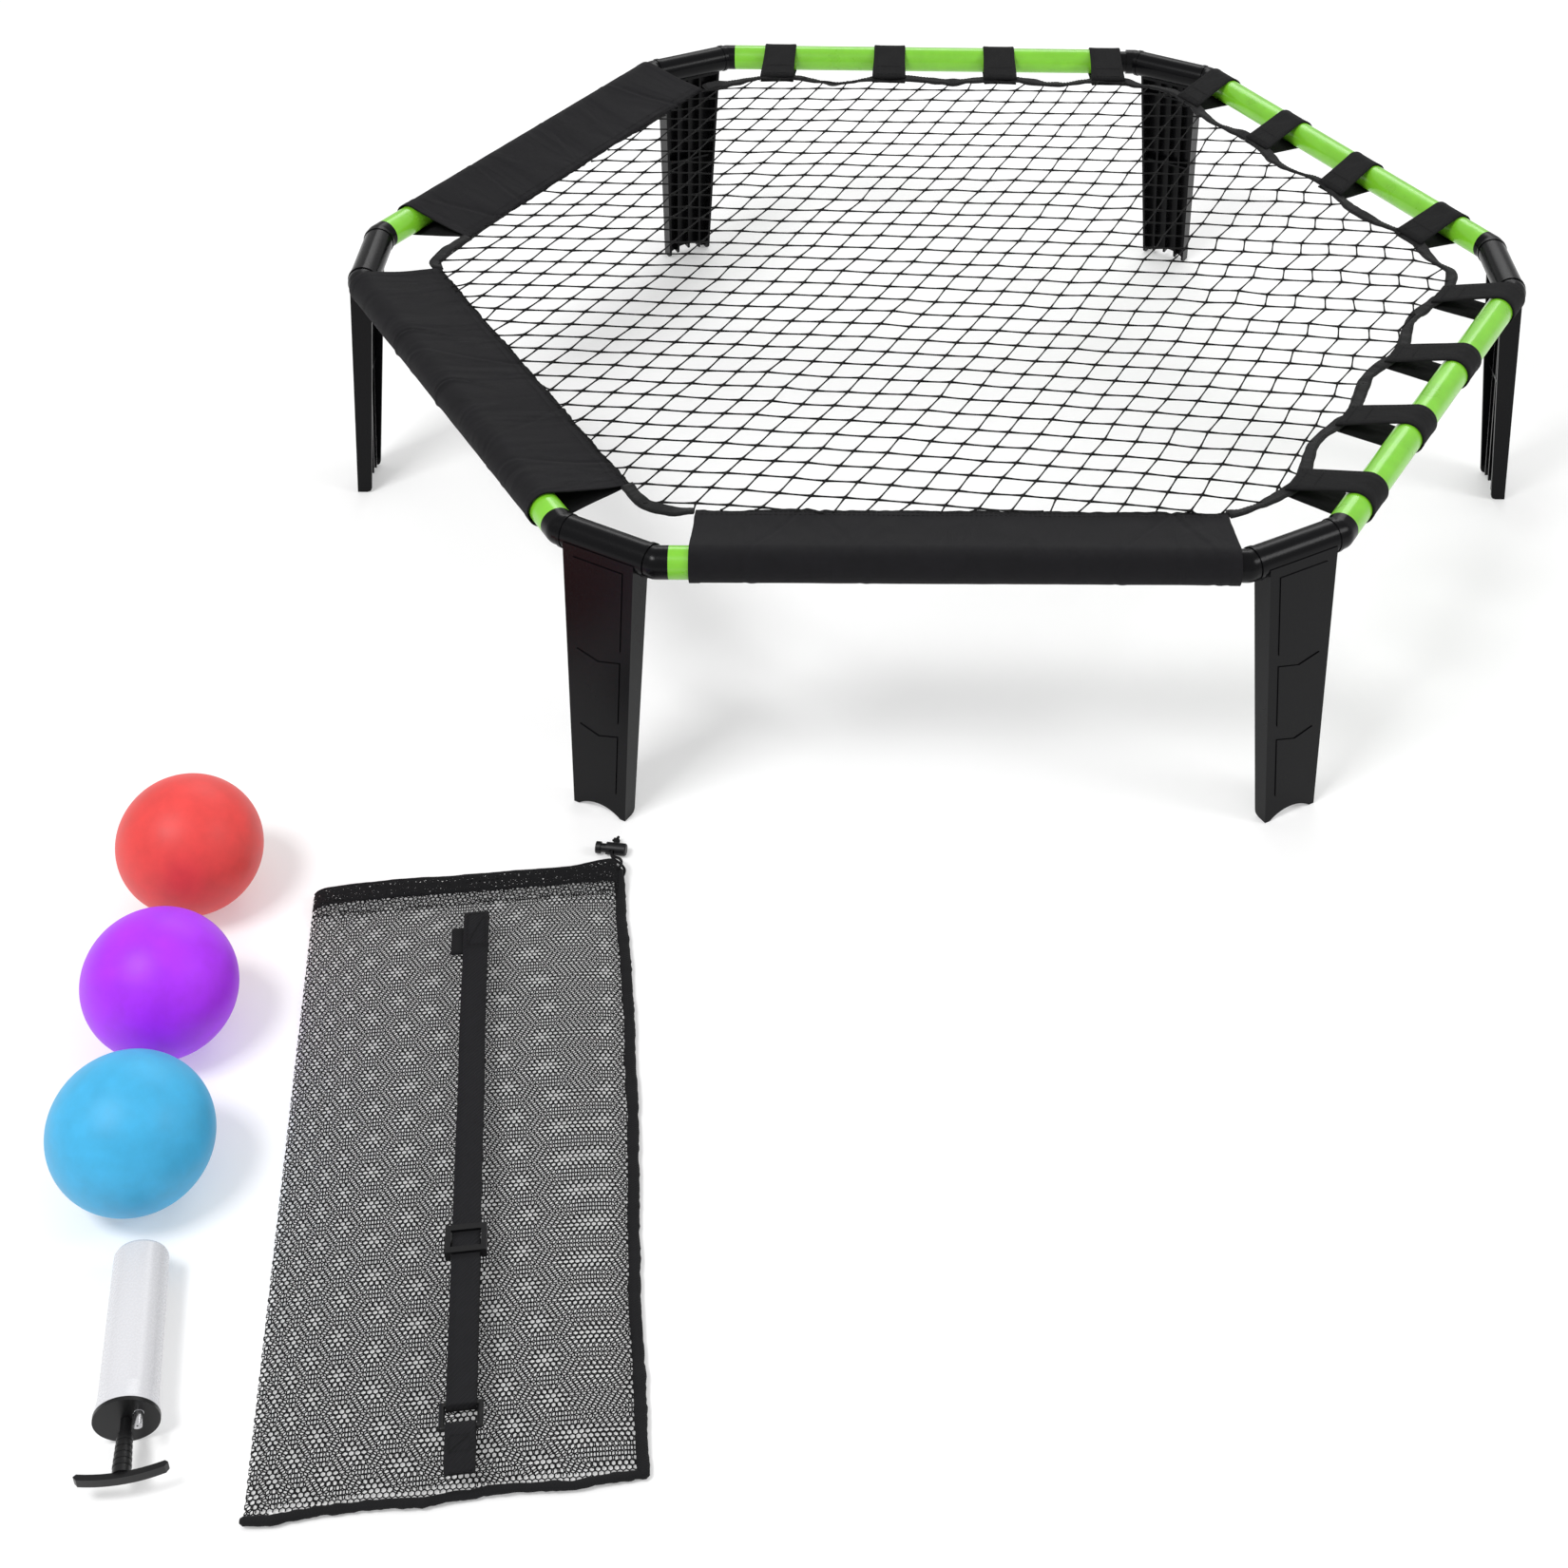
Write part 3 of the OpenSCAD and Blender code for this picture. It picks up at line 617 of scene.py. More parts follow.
# the three binding strips: for each side passed, places (s, inward) in millimetres
TAPE_STRIPS = (
    (
        (3, ((163, 58), (178, 57.5), (190, 60))),
        (4, ((-190, 60), (-180, 57.5), (-167, 58))),
    ),
    (
        (2, ((152, 58), (175, 58), (190, 61))),
        (3, ((-193, 60), (-181, 58))),
    ),
    (
        (4, ((183, 58), (192, 61))),
        (5, ((-186, 57), (-168, 50), (-152, 45), (-134, 45), (-95, 53), (-66, 49), (-50, 45),
             (-36, 45), (10, 52.5), (34, 48), (48, 45), (66, 45), (108, 53), (140, 48), (158, 45),
             (174, 45), (198, 52))),
        (0, ((-186, 55), (-168, 51), (-150, 45), (-132, 45), (-88, 53), (-58, 48), (-42, 45),
             (-26, 45), (14, 54), (44, 48), (56, 45), (72, 45), (112, 52), (148, 46), (162, 45),
             (178, 46), (200, 56))),
        (1, ((-190, 55), (-174, 45), (-148, 44), (-112, 55), (-76, 44), (-50, 44), (-12, 51), (26, 44),
             (50, 44), (88, 56), (126, 44), (150, 45), (183, 62))),
        (2, ((-196, 64), (-189, 60), (-181, 58))),
    ),
)


def tape_path(strip):
    points = [on_side(side, *place) for side, places in strip for place in places]
    return resample(catmull(points, 8), 3 * MM)


def edge_tape(name, paths):
    """Folded binding, a little wavy and rolled, with a stitch line near each edge."""
    solid, thread = Solid(), Solid()
    for seed, path in enumerate(paths):
        waved, ups = [], []
        for k, point in enumerate(path):
            ease = min(1.0, k / 4, (len(path) - 1 - k) / 4)
            lift = (1.3 * wander(k / 9, seed + 20) + 0.8 * wander(k / 3.1, seed + 30)) * MM * ease
            waved.append(point + Vector((0, 0, lift)))
            roll = 0.9 * wander(k / 11, seed + 40) + 0.35 * wander(k / 3.7, seed + 44)
            out = Vector((point.x, point.y, 0)).normalized()
            ups.append((UP + out * roll).normalized())
        rings = strip_rings(waved, ups, TAPE_W * MM, TAPE_THICK * MM, bow=0.25 * MM)
        for k, ring in enumerate(rings):
            centre = waved[k]
            swell = 0.96 + 0.13 * wander(k / 2.3, seed + 50)
            rings[k] = [centre + (p - centre) * swell for p in ring]
        solid.loft(rings)
        for offset in (-0.33, 0.33):
            row = []
            for point, along, up in zip(waved, tangents(waved), ups):
                row.append(point + facing(along, up)[0] * (offset * TAPE_W * MM) + up * 1.3 * MM)
            add_stitches(thread, row, ups, pitch=2.9 * MM)
    tape = solid.finish(name, "binding")
    add_thread(thread, name + "_thread")
    return tape


def tab_route(side, place, skew, radius, tip):
    """Centre line of a tab's cloth: under the tape, round the rail, and back over the tape."""
    lean = acos(radius / (tip + 4))
    route, ups = [], []

    def put(s, inward, up, out_in, out_up):
        route.append(on_side(side, s, inward, up))
        ups.append((on_side(side, s, inward + out_in, up + out_up) - route[-1]).normalized())

    touch = (radius * cos(lean), radius * sin(lean))
    for k in range(7):
        t = k / 7
        inward = tip + (touch[0] - tip) * t
        put(place + skew * (1 - t), inward, -1.9 + (-touch[1] + 1.9) * t, 0.2, -1)
    for k in range(25):
        q = -lean - (2 * pi - 2 * lean) * k / 24
        put(place, radius * cos(q), radius * sin(q), cos(q), sin(q))
    for k in range(1, 9):
        t = k / 8
        inward = touch[0] + (tip - touch[0]) * t
        put(place + skew * t, inward, touch[1] + (2.2 - touch[1]) * t, 0.2, 1)
    return route, ups


def tab(solid, thread, side, place, skew, seed):
    """One tab: a strip of cloth round the rail, its ends sewn over and under the binding."""
    route, ups = tab_route(side, place, skew, TUBE_R / MM + 0.9, 48.0)
    rings = []
    across = on_side(side, place + 1, 0) - on_side(side, place, 0)
    across.normalize()
    last = len(route) - 1
    for k, (point, up) in enumerate(zip(route, ups)):
        near_end = max(0.0, 1 - min(k, last - k) / 6)
        half = (TAB_W / 2 - 0.8 * (1 - near_end) + 0.7 * wander(k / 4, seed) * near_end) * MM
        ring = []
        for t, h in flat_profile((-0.96, -0.55, 0, 0.55, 0.96)):
            buckle = 0.45 * MM * wander(k / 6 + t * 1.4, seed + 3) * near_end
            hem = 0.25 * MM if abs(t) > 0.8 and h > 0 else 0
            ring.append(point + across * (t * half) + up * (h * TAB_THICK * MM + buckle + hem))
        rings.append(ring)
    solid.loft(rings)
    for t in (-0.8, 0.8):
        row = [p + across * (t * TAB_W / 2 * MM) + u * 0.75 * MM for p, u in zip(route[8:], ups[8:])]
        add_stitches(thread, row, ups[8:])
    for k in (last - 1, last - 3):
        row = [route[k] + across * (t * TAB_W / 2 * MM) + ups[k] * 0.8 * MM
               for t in [-0.75 + 0.15 * n for n in range(11)]]
        add_stitches(thread, row, [ups[k]] * len(row))


def tab_set(name, side):
    solid, thread = Solid(), Solid()
    for number, (place, skew) in enumerate(TAB_SIDES[side]):
        tab(solid, thread, side, place, skew, side * 10 + number)
    piece = solid.finish(name, "tab_cloth")
    add_thread(thread, name + "_thread")
    return piece


# ---- netting

CELL = 22.2
COLUMN_TURN = radians(65)
ROW_START = Vector((-137.9, -28.0))
NET_SAG = 13.0
NET_RADIUS = 352
NET_REACH = 34  # knots to look for on each side of the start, along a row and across the rows
NET_ROUNDS = 70  # rounds of evening out the strands' lengths
TWINE_R = 0.7


def row_curve(count):
    """Knot places along one row, which bends gently downwards from left to right."""
    places = {0: ROW_START.copy()}
    for way in (1, -1):
        here = ROW_START.copy()
        for k in range(1, count):
            turn = radians(-1.2 - 0.0305 * (here.x + 125))
            here = here + way * CELL * Vector((cos(turn), sin(turn)))
            places[way * k] = here.copy()
    return places


def net_height(x, y):
    from_middle = hypot(x, y) / NET_RADIUS
    uneven = 0.5 * noisy(x / 60, y / 60, 0.3)
    return AXIS_Z / MM - NET_SAG * max(-0.1, 1 - from_middle ** 2) + uneven


def pulled(place, row):
    """Rows near the tabbed right hand sides are drawn alternately out and in."""
    reach = max(0.0, (place.x - 0.35 * abs(place.y) - 140) / 150)
    swing = 3.6 * min(1.0, reach) * (1 if row % 2 else -1)
    return Vector((swing, 0.3 * swing))


def inside(point, rim):
    hits = False
    for a, b in zip(rim, rim[1:] + rim[:1]):
        if (a.y > point.y) != (b.y > point.y):
            if point.x < (b.x - a.x) * (point.y - a.y) / (b.y - a.y) + a.x:
                hits = not hits
    return hits


def crossing(a, b, rim):
    """Where the strand from a (inside) to b (outside) meets the rim."""
    best = None
    for c, d in zip(rim, rim[1:] + rim[:1]):
        met = geometry.intersect_line_line_2d(a, b, c, d)
        if met and (best is None or (met - a).length < (best - a).length):
            best = met
    return best


def lattice(rim):
    """Knots inside the rim, strands between them, and the ends that the binding holds at the rim."""
    column = Vector((cos(COLUMN_TURN), sin(COLUMN_TURN))) * CELL
    rows = row_curve(NET_REACH)
    knots = {}
    for i, start in rows.items():
        for j in range(-NET_REACH, NET_REACH + 1):
            place = start + column * j
            place += pulled(place, j)
            if inside(place, rim):
                knots[(i, j)] = place
    strands, pinned = [], {}
    for (i, j), here in list(knots.items()):
        for di, dj in ((1, 0), (0, 1), (-1, 0), (0, -1)):
            key = (i + di, j + dj)
            if key in knots:
                if (di, dj) in ((1, 0), (0, 1)):
                    strands.append(((i, j), key))
                continue
            there = rows[i + di] + column * (j + dj)
            there += pulled(there, j + dj)
            met = crossing(here, there, rim)
            if met is None:
                continue
            end = ("end", i, j, di, dj)
            drift = Vector((-(there - here).y, (there - here).x)).normalized() * random.uniform(-3.5, 3.5)
            pinned[end] = met + drift
            strands.append(((i, j), end))
    return knots, strands, pinned


def build_net(name, rim):
    """Knotted twine in a sheared lattice, held by the binding and then evened out."""
    knots, strands, pinned = lattice(rim)
    places = {**knots, **pinned}
    rest = {pair: (places[pair[0]] - places[pair[1]]).length for pair in strands}
    for pair in strands:
        if pair[1] not in pinned:
            rest[pair] *= 1 + random.uniform(-0.035, 0.045)
    for _ in range(NET_ROUNDS):
        push = {key: Vector((0, 0)) for key in knots}
        for (a, b), length in rest.items():
            gap = places[b] - places[a]
            pull = gap * (0.5 * (1 - length / max(gap.length, 1e-6)))
            if a in push:
                push[a] += pull
            if b in push:
                push[b] -= pull
        for key, move in push.items():
            places[key] = places[key] + 0.45 * move
    return weave_net(name, places, strands, pinned)


def weave_net(name, places, strands, pinned):
    """The net's solid: strands that thin out between their ends, and a bead for each knot."""
    solid = Solid()

    def lifted(key):
        flat = places[key]
        height = AXIS_Z / MM if key in pinned else net_height(flat.x, flat.y)
        return Vector((flat.x, flat.y, height)) * MM

    for a, b in strands:
        start, stop = lifted(a), lifted(b)
        along = (stop - start).normalized()
        side, lift = facing(along, UP)
        rings = []
        drop = 0.35 * MM * random.random()
        for t, r in ((0, 1.45), (0.12, 1.15), (0.35, 0.85), (0.65, 0.8), (0.88, 1.1), (1, 1.4)):
            centre = start.lerp(stop, t) - UP * (drop * sin(pi * t))
            rings.append(oval(centre, side, lift, TWINE_R * MM * r, TWINE_R * MM * r, 6))
        solid.loft(rings)
    for key in places:
        if key in pinned:
            continue
        centre = lifted(key)
        turn = radians(18 + 10 * noise.noise(centre * 40))
        long = Vector((cos(turn), sin(turn), 0))
        wide = Vector((-long.y, long.x, 0))
        rings = []
        for t, r in ((-1.9, 0.25), (-1.2, 0.95), (-0.3, 1.3), (0.5, 1.25), (1.3, 0.9), (1.9, 0.25)):
            rings.append(oval(centre + long * (t * MM), wide, UP, MM * r, 0.85 * MM * r, 7))
        solid.loft(rings)
    return solid.finish(name, "net_twine")


# ---- bag

BAG_HALF = 97.0
BAG_LOW = -216.0
BAG_HEM = 203.0
BAG_MOUTH = 222.5
CORD_ALONG = 214.0
HOLE_PITCH = 3.1
HOLE_R = 0.447
MESH_REACH = 112
MESH_TURN = radians(3.75)
SEAM_STEPS = 199
BOTTOM_STEPS = 109
SWAG_LENGTH = 74
# rolls along the hem: place above its seam (None for the mouth's edge), height, half width,
# half thickness and seed
HEM_ROLLS = ((0.6, -0.4, 0.9, 0.6, 76), (None, 0.2, 1.1, 0.8, 78))
HEM_STEPS = 85
# mesh layers of the hem: turn in degrees and lift, over its whole depth or only its gathered band
HEM_LAYERS = ((21, 0.5), (-12, 1.0), (40, -0.5))
BAND_LAYERS = ((9, 0.8), (31, 1.2), (-26, 0.2), (50, 0.6), (-41, 1.4), (3, -0.2))


def edge_wave(along):
    """How far the right seam leans in or out, in millimetres."""
    return 1.6 * sin(along / 62 + 0.6) + 1.1 * wander(along / 38, 61)


def smooth_step(value, start, stop):
    """Smooth step from 0 at start to 1 at stop."""
    t = min(1.0, max(0.0, (value - start) / (stop - start)))
    return t * t * (3 - 2 * t)


def bag_upper(across, along):
    """Height of the upper layer: puffed in the middle and over the cord, low along its edges."""
    hem = smooth_step(along, BAG_HEM - 16, BAG_HEM + 2)
    reach = BAG_HALF + (1 + 2 * hem if across > 0 else 1)
    side = max(0.0, 1 - abs(across / reach) ** (5 + (25 if across > 0 else 11) * hem))
    ends = max(0.0, 1 - ((along + 6) / (BAG_HEM + 14)) ** 10 * (1 - 0.9 * hem))
    ripple = 1.1 * noisy(across / 42, along / 55, 3.3)
    ripple += 0.6 * noisy(across / 15, along / 24, 8.3)
    crown = (BAG_TOP / MM - 3.4) * side * (0.35 + 0.65 * ends)
    gather = 2.2 * exp(-((across - BAG_HALF) ** 2 + (along - CORD_ALONG - 2) ** 2) / 60)
    fall = 4.5 * side * smooth_step(along, CORD_ALONG + 2, BAG_MOUTH + 1)
    fall *= 1 - smooth_step(across, 60, 92)
    return 2.0 + crown + ripple * side + gather - fall


def bag_lower(across, along):
    return 0.8 + 0.35 * abs(noisy(across / 30, along / 40, 5.1))


def fold_point(across, along, lift=0.0):
    """Point of the folded cloth: positive across is its upper layer, negative its lower one."""
    inner = abs(across) - BAG_HALF
    share = min(1.0, max(0.0, 0.5 + across / 2))
    low, high = bag_lower(inner, along), bag_upper(inner, along) + lift
    return on_bag(inner, along, low + (high - low) * share)


def hexagon_cloth(solid, turn, keep, lift=0.0):
    """Warp-knit mesh: a sheet of hexagonal holes on a turned grid, laid over the bag's form."""
    rise = HOLE_PITCH * sqrt(3) / 2
    corners = [(cos(radians(30 + 60 * k)) * HOLE_R * HOLE_PITCH,
                sin(radians(30 + 60 * k)) * HOLE_R * HOLE_PITCH) for k in range(6)]
    cos_t, sin_t = cos(turn), sin(turn)
    verts, index = [], {}
    for j in range(-MESH_REACH, MESH_REACH + 1):
        for i in range(-MESH_REACH, MESH_REACH + 1):
            x, y = HOLE_PITCH * (i + 0.5 * (j % 2)), rise * j
            across, along = x * cos_t - y * sin_t, x * sin_t + y * cos_t
            if not keep(across, along):
                continue
            index[(i, j)] = len(verts)
            for dx, dy in corners:
                q, w = across + dx * cos_t - dy * sin_t, along + dx * sin_t + dy * cos_t
                verts.append(fold_point(q, w, lift))
    faces = []
    for (i, j), here in index.items():
        east = index.get((i + 1, j))
        up_right = index.get((i + j % 2, j + 1))
        up_left = index.get((i + j % 2 - 1, j + 1))
        if east is not None:
            faces.append((here + 5, east + 3, east + 2, here))
        if up_right is not None:
            faces.append((here, up_right + 4, up_right + 3, here + 1))
        if up_left is not None:
            faces.append((here + 1, up_left + 5, up_left + 4, here + 2))
        if east is not None and up_right is not None:
            faces.append((here, east + 2, up_right + 4))
        if up_left is not None and up_right is not None:
            faces.append((here + 1, up_right + 3, up_left + 5))
    solid.add(verts, faces)


def bag_cloth(name):
    """One sheet folded at the bag's left edge, so its two layers cross at twice the turn."""
    solid = Solid()

    def in_cloth(q, along):
        return abs(q) < 2 * BAG_HALF + 2 + edge_wave(along) and BAG_LOW < along < BAG_HEM + 3

    hexagon_cloth(solid, MESH_TURN, in_cloth)
    return solid.finish(name, "bag_mesh", "bag")


def mouth_edge(across):
    """Where the mouth ends: drawn up to a corner at the right, where the cords leave."""
    rise = max(0.0, (across - 20) / 77) ** 2
    return BAG_MOUTH - 3.8 + 3.2 * rise + 0.8 * wander(across / 24, 73) + 0.3 * wander(across / 7, 74)


def roll(solid, path, wide, tall, seed):
    """A rolled, gathered edge of cloth: flattened, pinched and wrinkled across its length."""
    rings = []
    last = len(path) - 1
    for k, (point, along) in enumerate(zip(path, tangents(path))):
        side, lift = facing(along, UP)
        gather = 1 + 0.16 * wander(k / 1.7, seed) + 0.14 * wander(k / 5, seed + 4)
        taper = 0.5 if k in (0, last) else 1.0
        ring = []
        for n in range(12):
            q = 2 * pi * n / 12
            pinch = 1 - 0.3 * max(0.0, cos(q - 0.6)) ** 4 + 0.1 * wander(k / 1.3 + n, seed + 8)
            reach = gather * taper * pinch * MM
            ring.append(point + side * (wide * reach * cos(q)) + lift * (tall * reach * sin(q)))
        rings.append(ring)
    solid.loft(rings)


def hem_part(below, sink=0.0, layer=1):
    """A test for the hem, from below its seam to the mouth; layer is -1 for the lower one."""

    def keep(q, along):
        across = layer * q - BAG_HALF
        in_hem = -BAG_HALF < across < BAG_HALF + 1
        return in_hem and BAG_HEM - below < along < mouth_edge(across) - sink

    return keep


def mouth_hem(name):
    """The gathered hem round the mouth: many turned layers of mesh, with a roll at each long edge."""
    solid = Solid()
    for turn, lift in HEM_LAYERS:
        hexagon_cloth(solid, radians(turn), hem_part(2), lift)
    hexagon_cloth(solid, radians(17), hem_part(2, layer=-1))
    for turn, lift in BAND_LAYERS:
        hexagon_cloth(solid, radians(turn), hem_part(1, 0.8), lift)
    for edge, sink, wide, tall, seed in HEM_ROLLS:
        path = []
        for k in range(HEM_STEPS + 1):
            across = -BAG_HALF + 1 + (2 * BAG_HALF - 1.5) * k / HEM_STEPS
            along = mouth_edge(across) - 0.6 if edge is None else BAG_HEM + edge
            along += 0.7 * wander(across / 13, seed)
            path.append(on_bag(across, along, bag_upper(across, along) + 0.6 + sink))
        roll(solid, path, wide, tall, seed)
    return solid.finish(name, "hem_cloth", "bag")


def seam_binding(name):
    """Gathered seam down the right edge, and along the bottom in shallow swags."""
    solid = Solid()
    right = []
    for k in range(SEAM_STEPS + 1):
        along = BAG_HEM + 14 - (BAG_HEM + 14 - BAG_LOW + 4) * k / SEAM_STEPS
        across = BAG_HALF + 1.6 + edge_wave(along) * 0.9
        rise = 4.0 * smooth_step(along, BAG_HEM - 10, BAG_HEM + 12)
        right.append(on_bag(across, along, 3.4 + rise + 1.1 * wander(along / 21, 81)))
    bottom = []
    for k in range(BOTTOM_STEPS + 1):
        across = BAG_HALF + 4 - (2 * BAG_HALF + 5) * k / BOTTOM_STEPS
        swag = abs(sin(pi * (across + 10) / SWAG_LENGTH))
        along = BAG_LOW - 3.4 + 2.4 * swag + 0.5 * wander(across / 8, 84)
        bottom.append(on_bag(across, along, 3.2 + 1.0 * wander(across / 15, 85)))
    roll(solid, right, 3.6, 2.2, 86)
    roll(solid, bottom, 3.0, 2.1, 91)
    return solid.finish(name, "hem_cloth", "bag")


# ---- strap

STRAP_U = 8.5
STRAP_W = 15.4
RUN_Z = BAG_TOP / MM + 4.9
LOW_Z = BAG_TOP / MM + 0.55
RING_Z = BAG_TOP / MM + 2.725
RING_TOP = -176.0
RING_LOW = -189.0
RING_WRAP = 2.175  # from a ring bar's centre to the middle of the strap that goes round it
WEBBING_THICK = 1.0


def strap_piece(name, points, seed, body="bag"):
    """Woven strap through given points (across, along, up): flat, with round selvedges."""
    path = bag_path(points, 10, 1.2)
    side = on_bag(1, 0, 0) - on_bag(0, 0, 0)
    ups = [side.cross(along).normalized() * -1 for along in tangents(path)]
    solid = Solid()
    rings = strip_rings(path, ups, STRAP_W * MM, WEBBING_THICK * MM, edge=0.3)
    for k, ring in enumerate(rings):
        lean = 0.16 * MM * wander(k / 14, seed)
        rings[k] = [p + ups[k] * lean for p in ring]
    solid.loft(rings)
    return solid.finish(name, "strap_webbing", body)


def ring_turn(along, way):
    """Half turn round a ring bar, from the upper run to the lower one."""
    turn = []
    for k in range(7):
        q = pi / 2 + way * pi * k / 6
        turn.append((STRAP_U, along + RING_WRAP * cos(q), RING_Z + RING_WRAP * sin(q)))
    return turn


def strap_run(height, *places):
    """Points down the strap's middle: (along, drop below the height, lean to the left)."""
    return [(STRAP_U - lean, along, height - drop) for along, drop, lean in places]


def add_strap():
    drape = strap_run(RUN_Z, (176, 0.2, 0), (160, 0.4, 0), (128, 2.4, 0.3), (80, 3.0, 0.6),
                      (30, 1.2, 0), (0, 0, 0), (-60, 0, 0), (-110, 0, 0), (-150, 0, 0))
    return_run = strap_run(LOW_Z, (-150, 0, 0), (-110, 0, 0), (-84.5, 0, 0))
    run = strap_piece("shoulder_strap_webbing", drape + ring_turn(RING_TOP, 1) + return_run, 91)
    stand_in(run, "shoulder_strap")
    sewn, middle, near_ring = BAG_LOW + 1.5, BAG_LOW + 8, RING_LOW - 8
    out = strap_run(RUN_Z, (sewn, 2.2, 0), (middle, 0.6, 0), (near_ring, 0, 0))
    back = strap_run(LOW_Z, (near_ring, 0, 0), (middle, 0, 0), (sewn, 0, 0))
    anchor = strap_piece("strap_bottom_anchor_webbing", out + ring_turn(RING_LOW, -1) + back, 92)
    stand_in(anchor, "strap_bottom_anchor")
    add_top_anchor()
    add_end_loop()
    add_strap_thread()


def add_top_anchor():
    """Folded patch under the strap's top end, with a short tongue that shows at its left."""
    solid = Solid()
    low, high = BAG_TOP / MM + 0.1, BAG_TOP / MM + 4.2
    for (left, right, near, far, bottom, top) in (
        (STRAP_U - 7.6, STRAP_U + 7.6, 144, 176, low, high),
        (STRAP_U - 15.2, STRAP_U - 5, 144, 166, low, low + 2.4),
    ):
        rings = []
        for k in range(13):
            along = near + (far - near) * k / 12
            ease = 0.7 if k in (0, 12) else 1.0
            middle = (bottom + top) / 2 + 0.25 * wander(k / 3, 95 + left)
            half = (top - bottom) / 2 * ease
            ring = []
            for x, z in ((0, -0.5), (0.02, -1), (0.5, -1), (0.98, -1), (1, -0.5), (1, 0.5),
                         (0.98, 1), (0.5, 1), (0.02, 1), (0, 0.5)):
                across = left + (right - left) * x + 0.3 * wander(k / 2, 97)
                ring.append(on_bag(across, along, middle + half * z))
            rings.append(ring)
        solid.loft(rings)
    patch = solid.finish("strap_top_patch", "hem_cloth", "bag")
    stand_in(patch, "strap_top_anchor")


def add_end_loop():
    """The strap's sewn end round the slider's middle bar. It moves with the slider."""
    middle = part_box("strap_end_loop")[1].z / MM - 2.05
    bar = -76.5
    points = [(STRAP_U, bar - 7.5, LOW_Z), (STRAP_U, bar - 3.5, LOW_Z)]
    for k in range(9):
        q = -pi / 2 + 1.7 * pi * k / 8
        points.append((STRAP_U, bar + 1.6 * cos(q), middle + 1.6 * sin(q)))
    loop = strap_piece("strap_end_loop_webbing", points, 93, "strap_slider_body")
    stand_in(loop, "strap_end_loop")


def add_strap_thread():
    """Box stitching that holds the strap's top end and the bottom anchor."""
    solid = Solid()
    spots = ((148, 174, RUN_Z + 0.5), (BAG_LOW + 12, RING_LOW - 6, RUN_Z + 0.7))
    for near, far, height in spots:
        box = [(STRAP_U - 5.5, near), (STRAP_U + 5.5, near), (STRAP_U + 5.5, far), (STRAP_U - 5.5, far),
               (STRAP_U - 5.5, near), (STRAP_U + 5.5, far)]
        for (a, b), (c, d) in zip(box, box[1:]):
            row = [on_bag(a + (c - a) * t / 6, b + (d - b) * t / 6, height) for t in range(7)]
            add_stitches(solid, row, [UP] * 7, pitch=2.6 * MM)
    add_thread(solid, "strap_thread", "bag")


# ---- drawcord

CORD_D = 1.9
CORD_HIGH = 11.35
CORD_LOW = 2.15
TAIL_A = [(97.2, 214, CORD_HIGH), (98.8, 214.3, CORD_HIGH), (99.6, 217, 10.6), (100, 222, 9.2),
          (98.6, 227, 7.2), (95, 231.4, 5.5), (93.65, 234.98, 5.2), (94.35, 237.59, 5.2),
          (95, 240, 5.2), (95.65, 242.41, 5.2), (96.3, 244.83, 5.2), (97, 247.4, 4.9), (98.8, 252, 3.4)]
TAIL_B = [(97.2, 214, CORD_LOW), (99.2, 214.3, CORD_LOW), (101, 217, 2), (101.6, 222, 1.7),
          (99.4, 227, 2), (95.1, 231.4, 2.9), (93.65, 234.98, 3.2), (94.35, 237.59, 3.2),
          (95, 240, 3.2), (95.65, 242.41, 3.2), (96.3, 244.83, 3.2), (97, 247.2, 3), (96.2, 252.6, 1.6)]


def braided_tube(name, path, closed=False):
    """A round cord whose surface shows the braid's crossed strands."""
    solid = Solid()
    rings = []
    side = Vector((0.3, -0.2, 1)).cross(tangents(path)[0]).normalized()
    for k, (point, along) in enumerate(zip(path, tangents(path))):
        side = (side - along * side.dot(along)).normalized()
        lift = along.cross(side)
        ring = []
        for n in range(16):
            q = 2 * pi * n / 16
            braid = sin(4 * q + k * 0.9) * sin(4 * q - k * 0.9)
            reach = (CORD_D / 2 - 0.05 + 0.07 * braid) * MM
            ring.append(point + reach * (cos(q) * side + sin(q) * lift))
        rings.append(ring)
    solid.loft(rings, closed=closed)
    return solid.finish(name, "cord", "bag")



def hidden_cord():
    """The cord inside the hem: along under its upper layer, round the left fold and back below."""
    upper = [(across, CORD_ALONG, bag_upper(across, CORD_ALONG) - 1.5) for across in range(88, -92, -6)]
    lower = [(across, CORD_ALONG, CORD_LOW) for across in range(-88, 92, 6)]
    start, stop = (BAG_HALF, CORD_ALONG, CORD_HIGH), (BAG_HALF, CORD_ALONG, CORD_LOW)
    points = [start, *upper, (-93.8, CORD_ALONG, 3.2), *lower, stop]
    path = bag_path(points, 6, 1.2)
    stand_in(braided_tube("drawcord_in_hem", path), "drawcord")


def add_drawcord():
    knot_path = []
    centre = on_bag(97, 247.3, 4.0)
    for k in range(72):
        q = 2 * pi * k / 72
        x = sin(q) + 2 * sin(2 * q)
        y = cos(q) - 2 * cos(2 * q)
        knot_path.append(centre + Vector((x, y, -1.1 * sin(3 * q))) * (0.62 * MM))
    knot = braided_tube("drawcord_overhand_knot", knot_path, closed=True)
    stand_in(knot, "drawcord_knot")
    for name, points in (("drawcord_tail_a", TAIL_A), ("drawcord_tail_b", TAIL_B)):
        path = bag_path(points, 8, 0.6)
        tail = stand_in(braided_tube(name + "_cord", path), name)


# ---- what is made

add_camera()

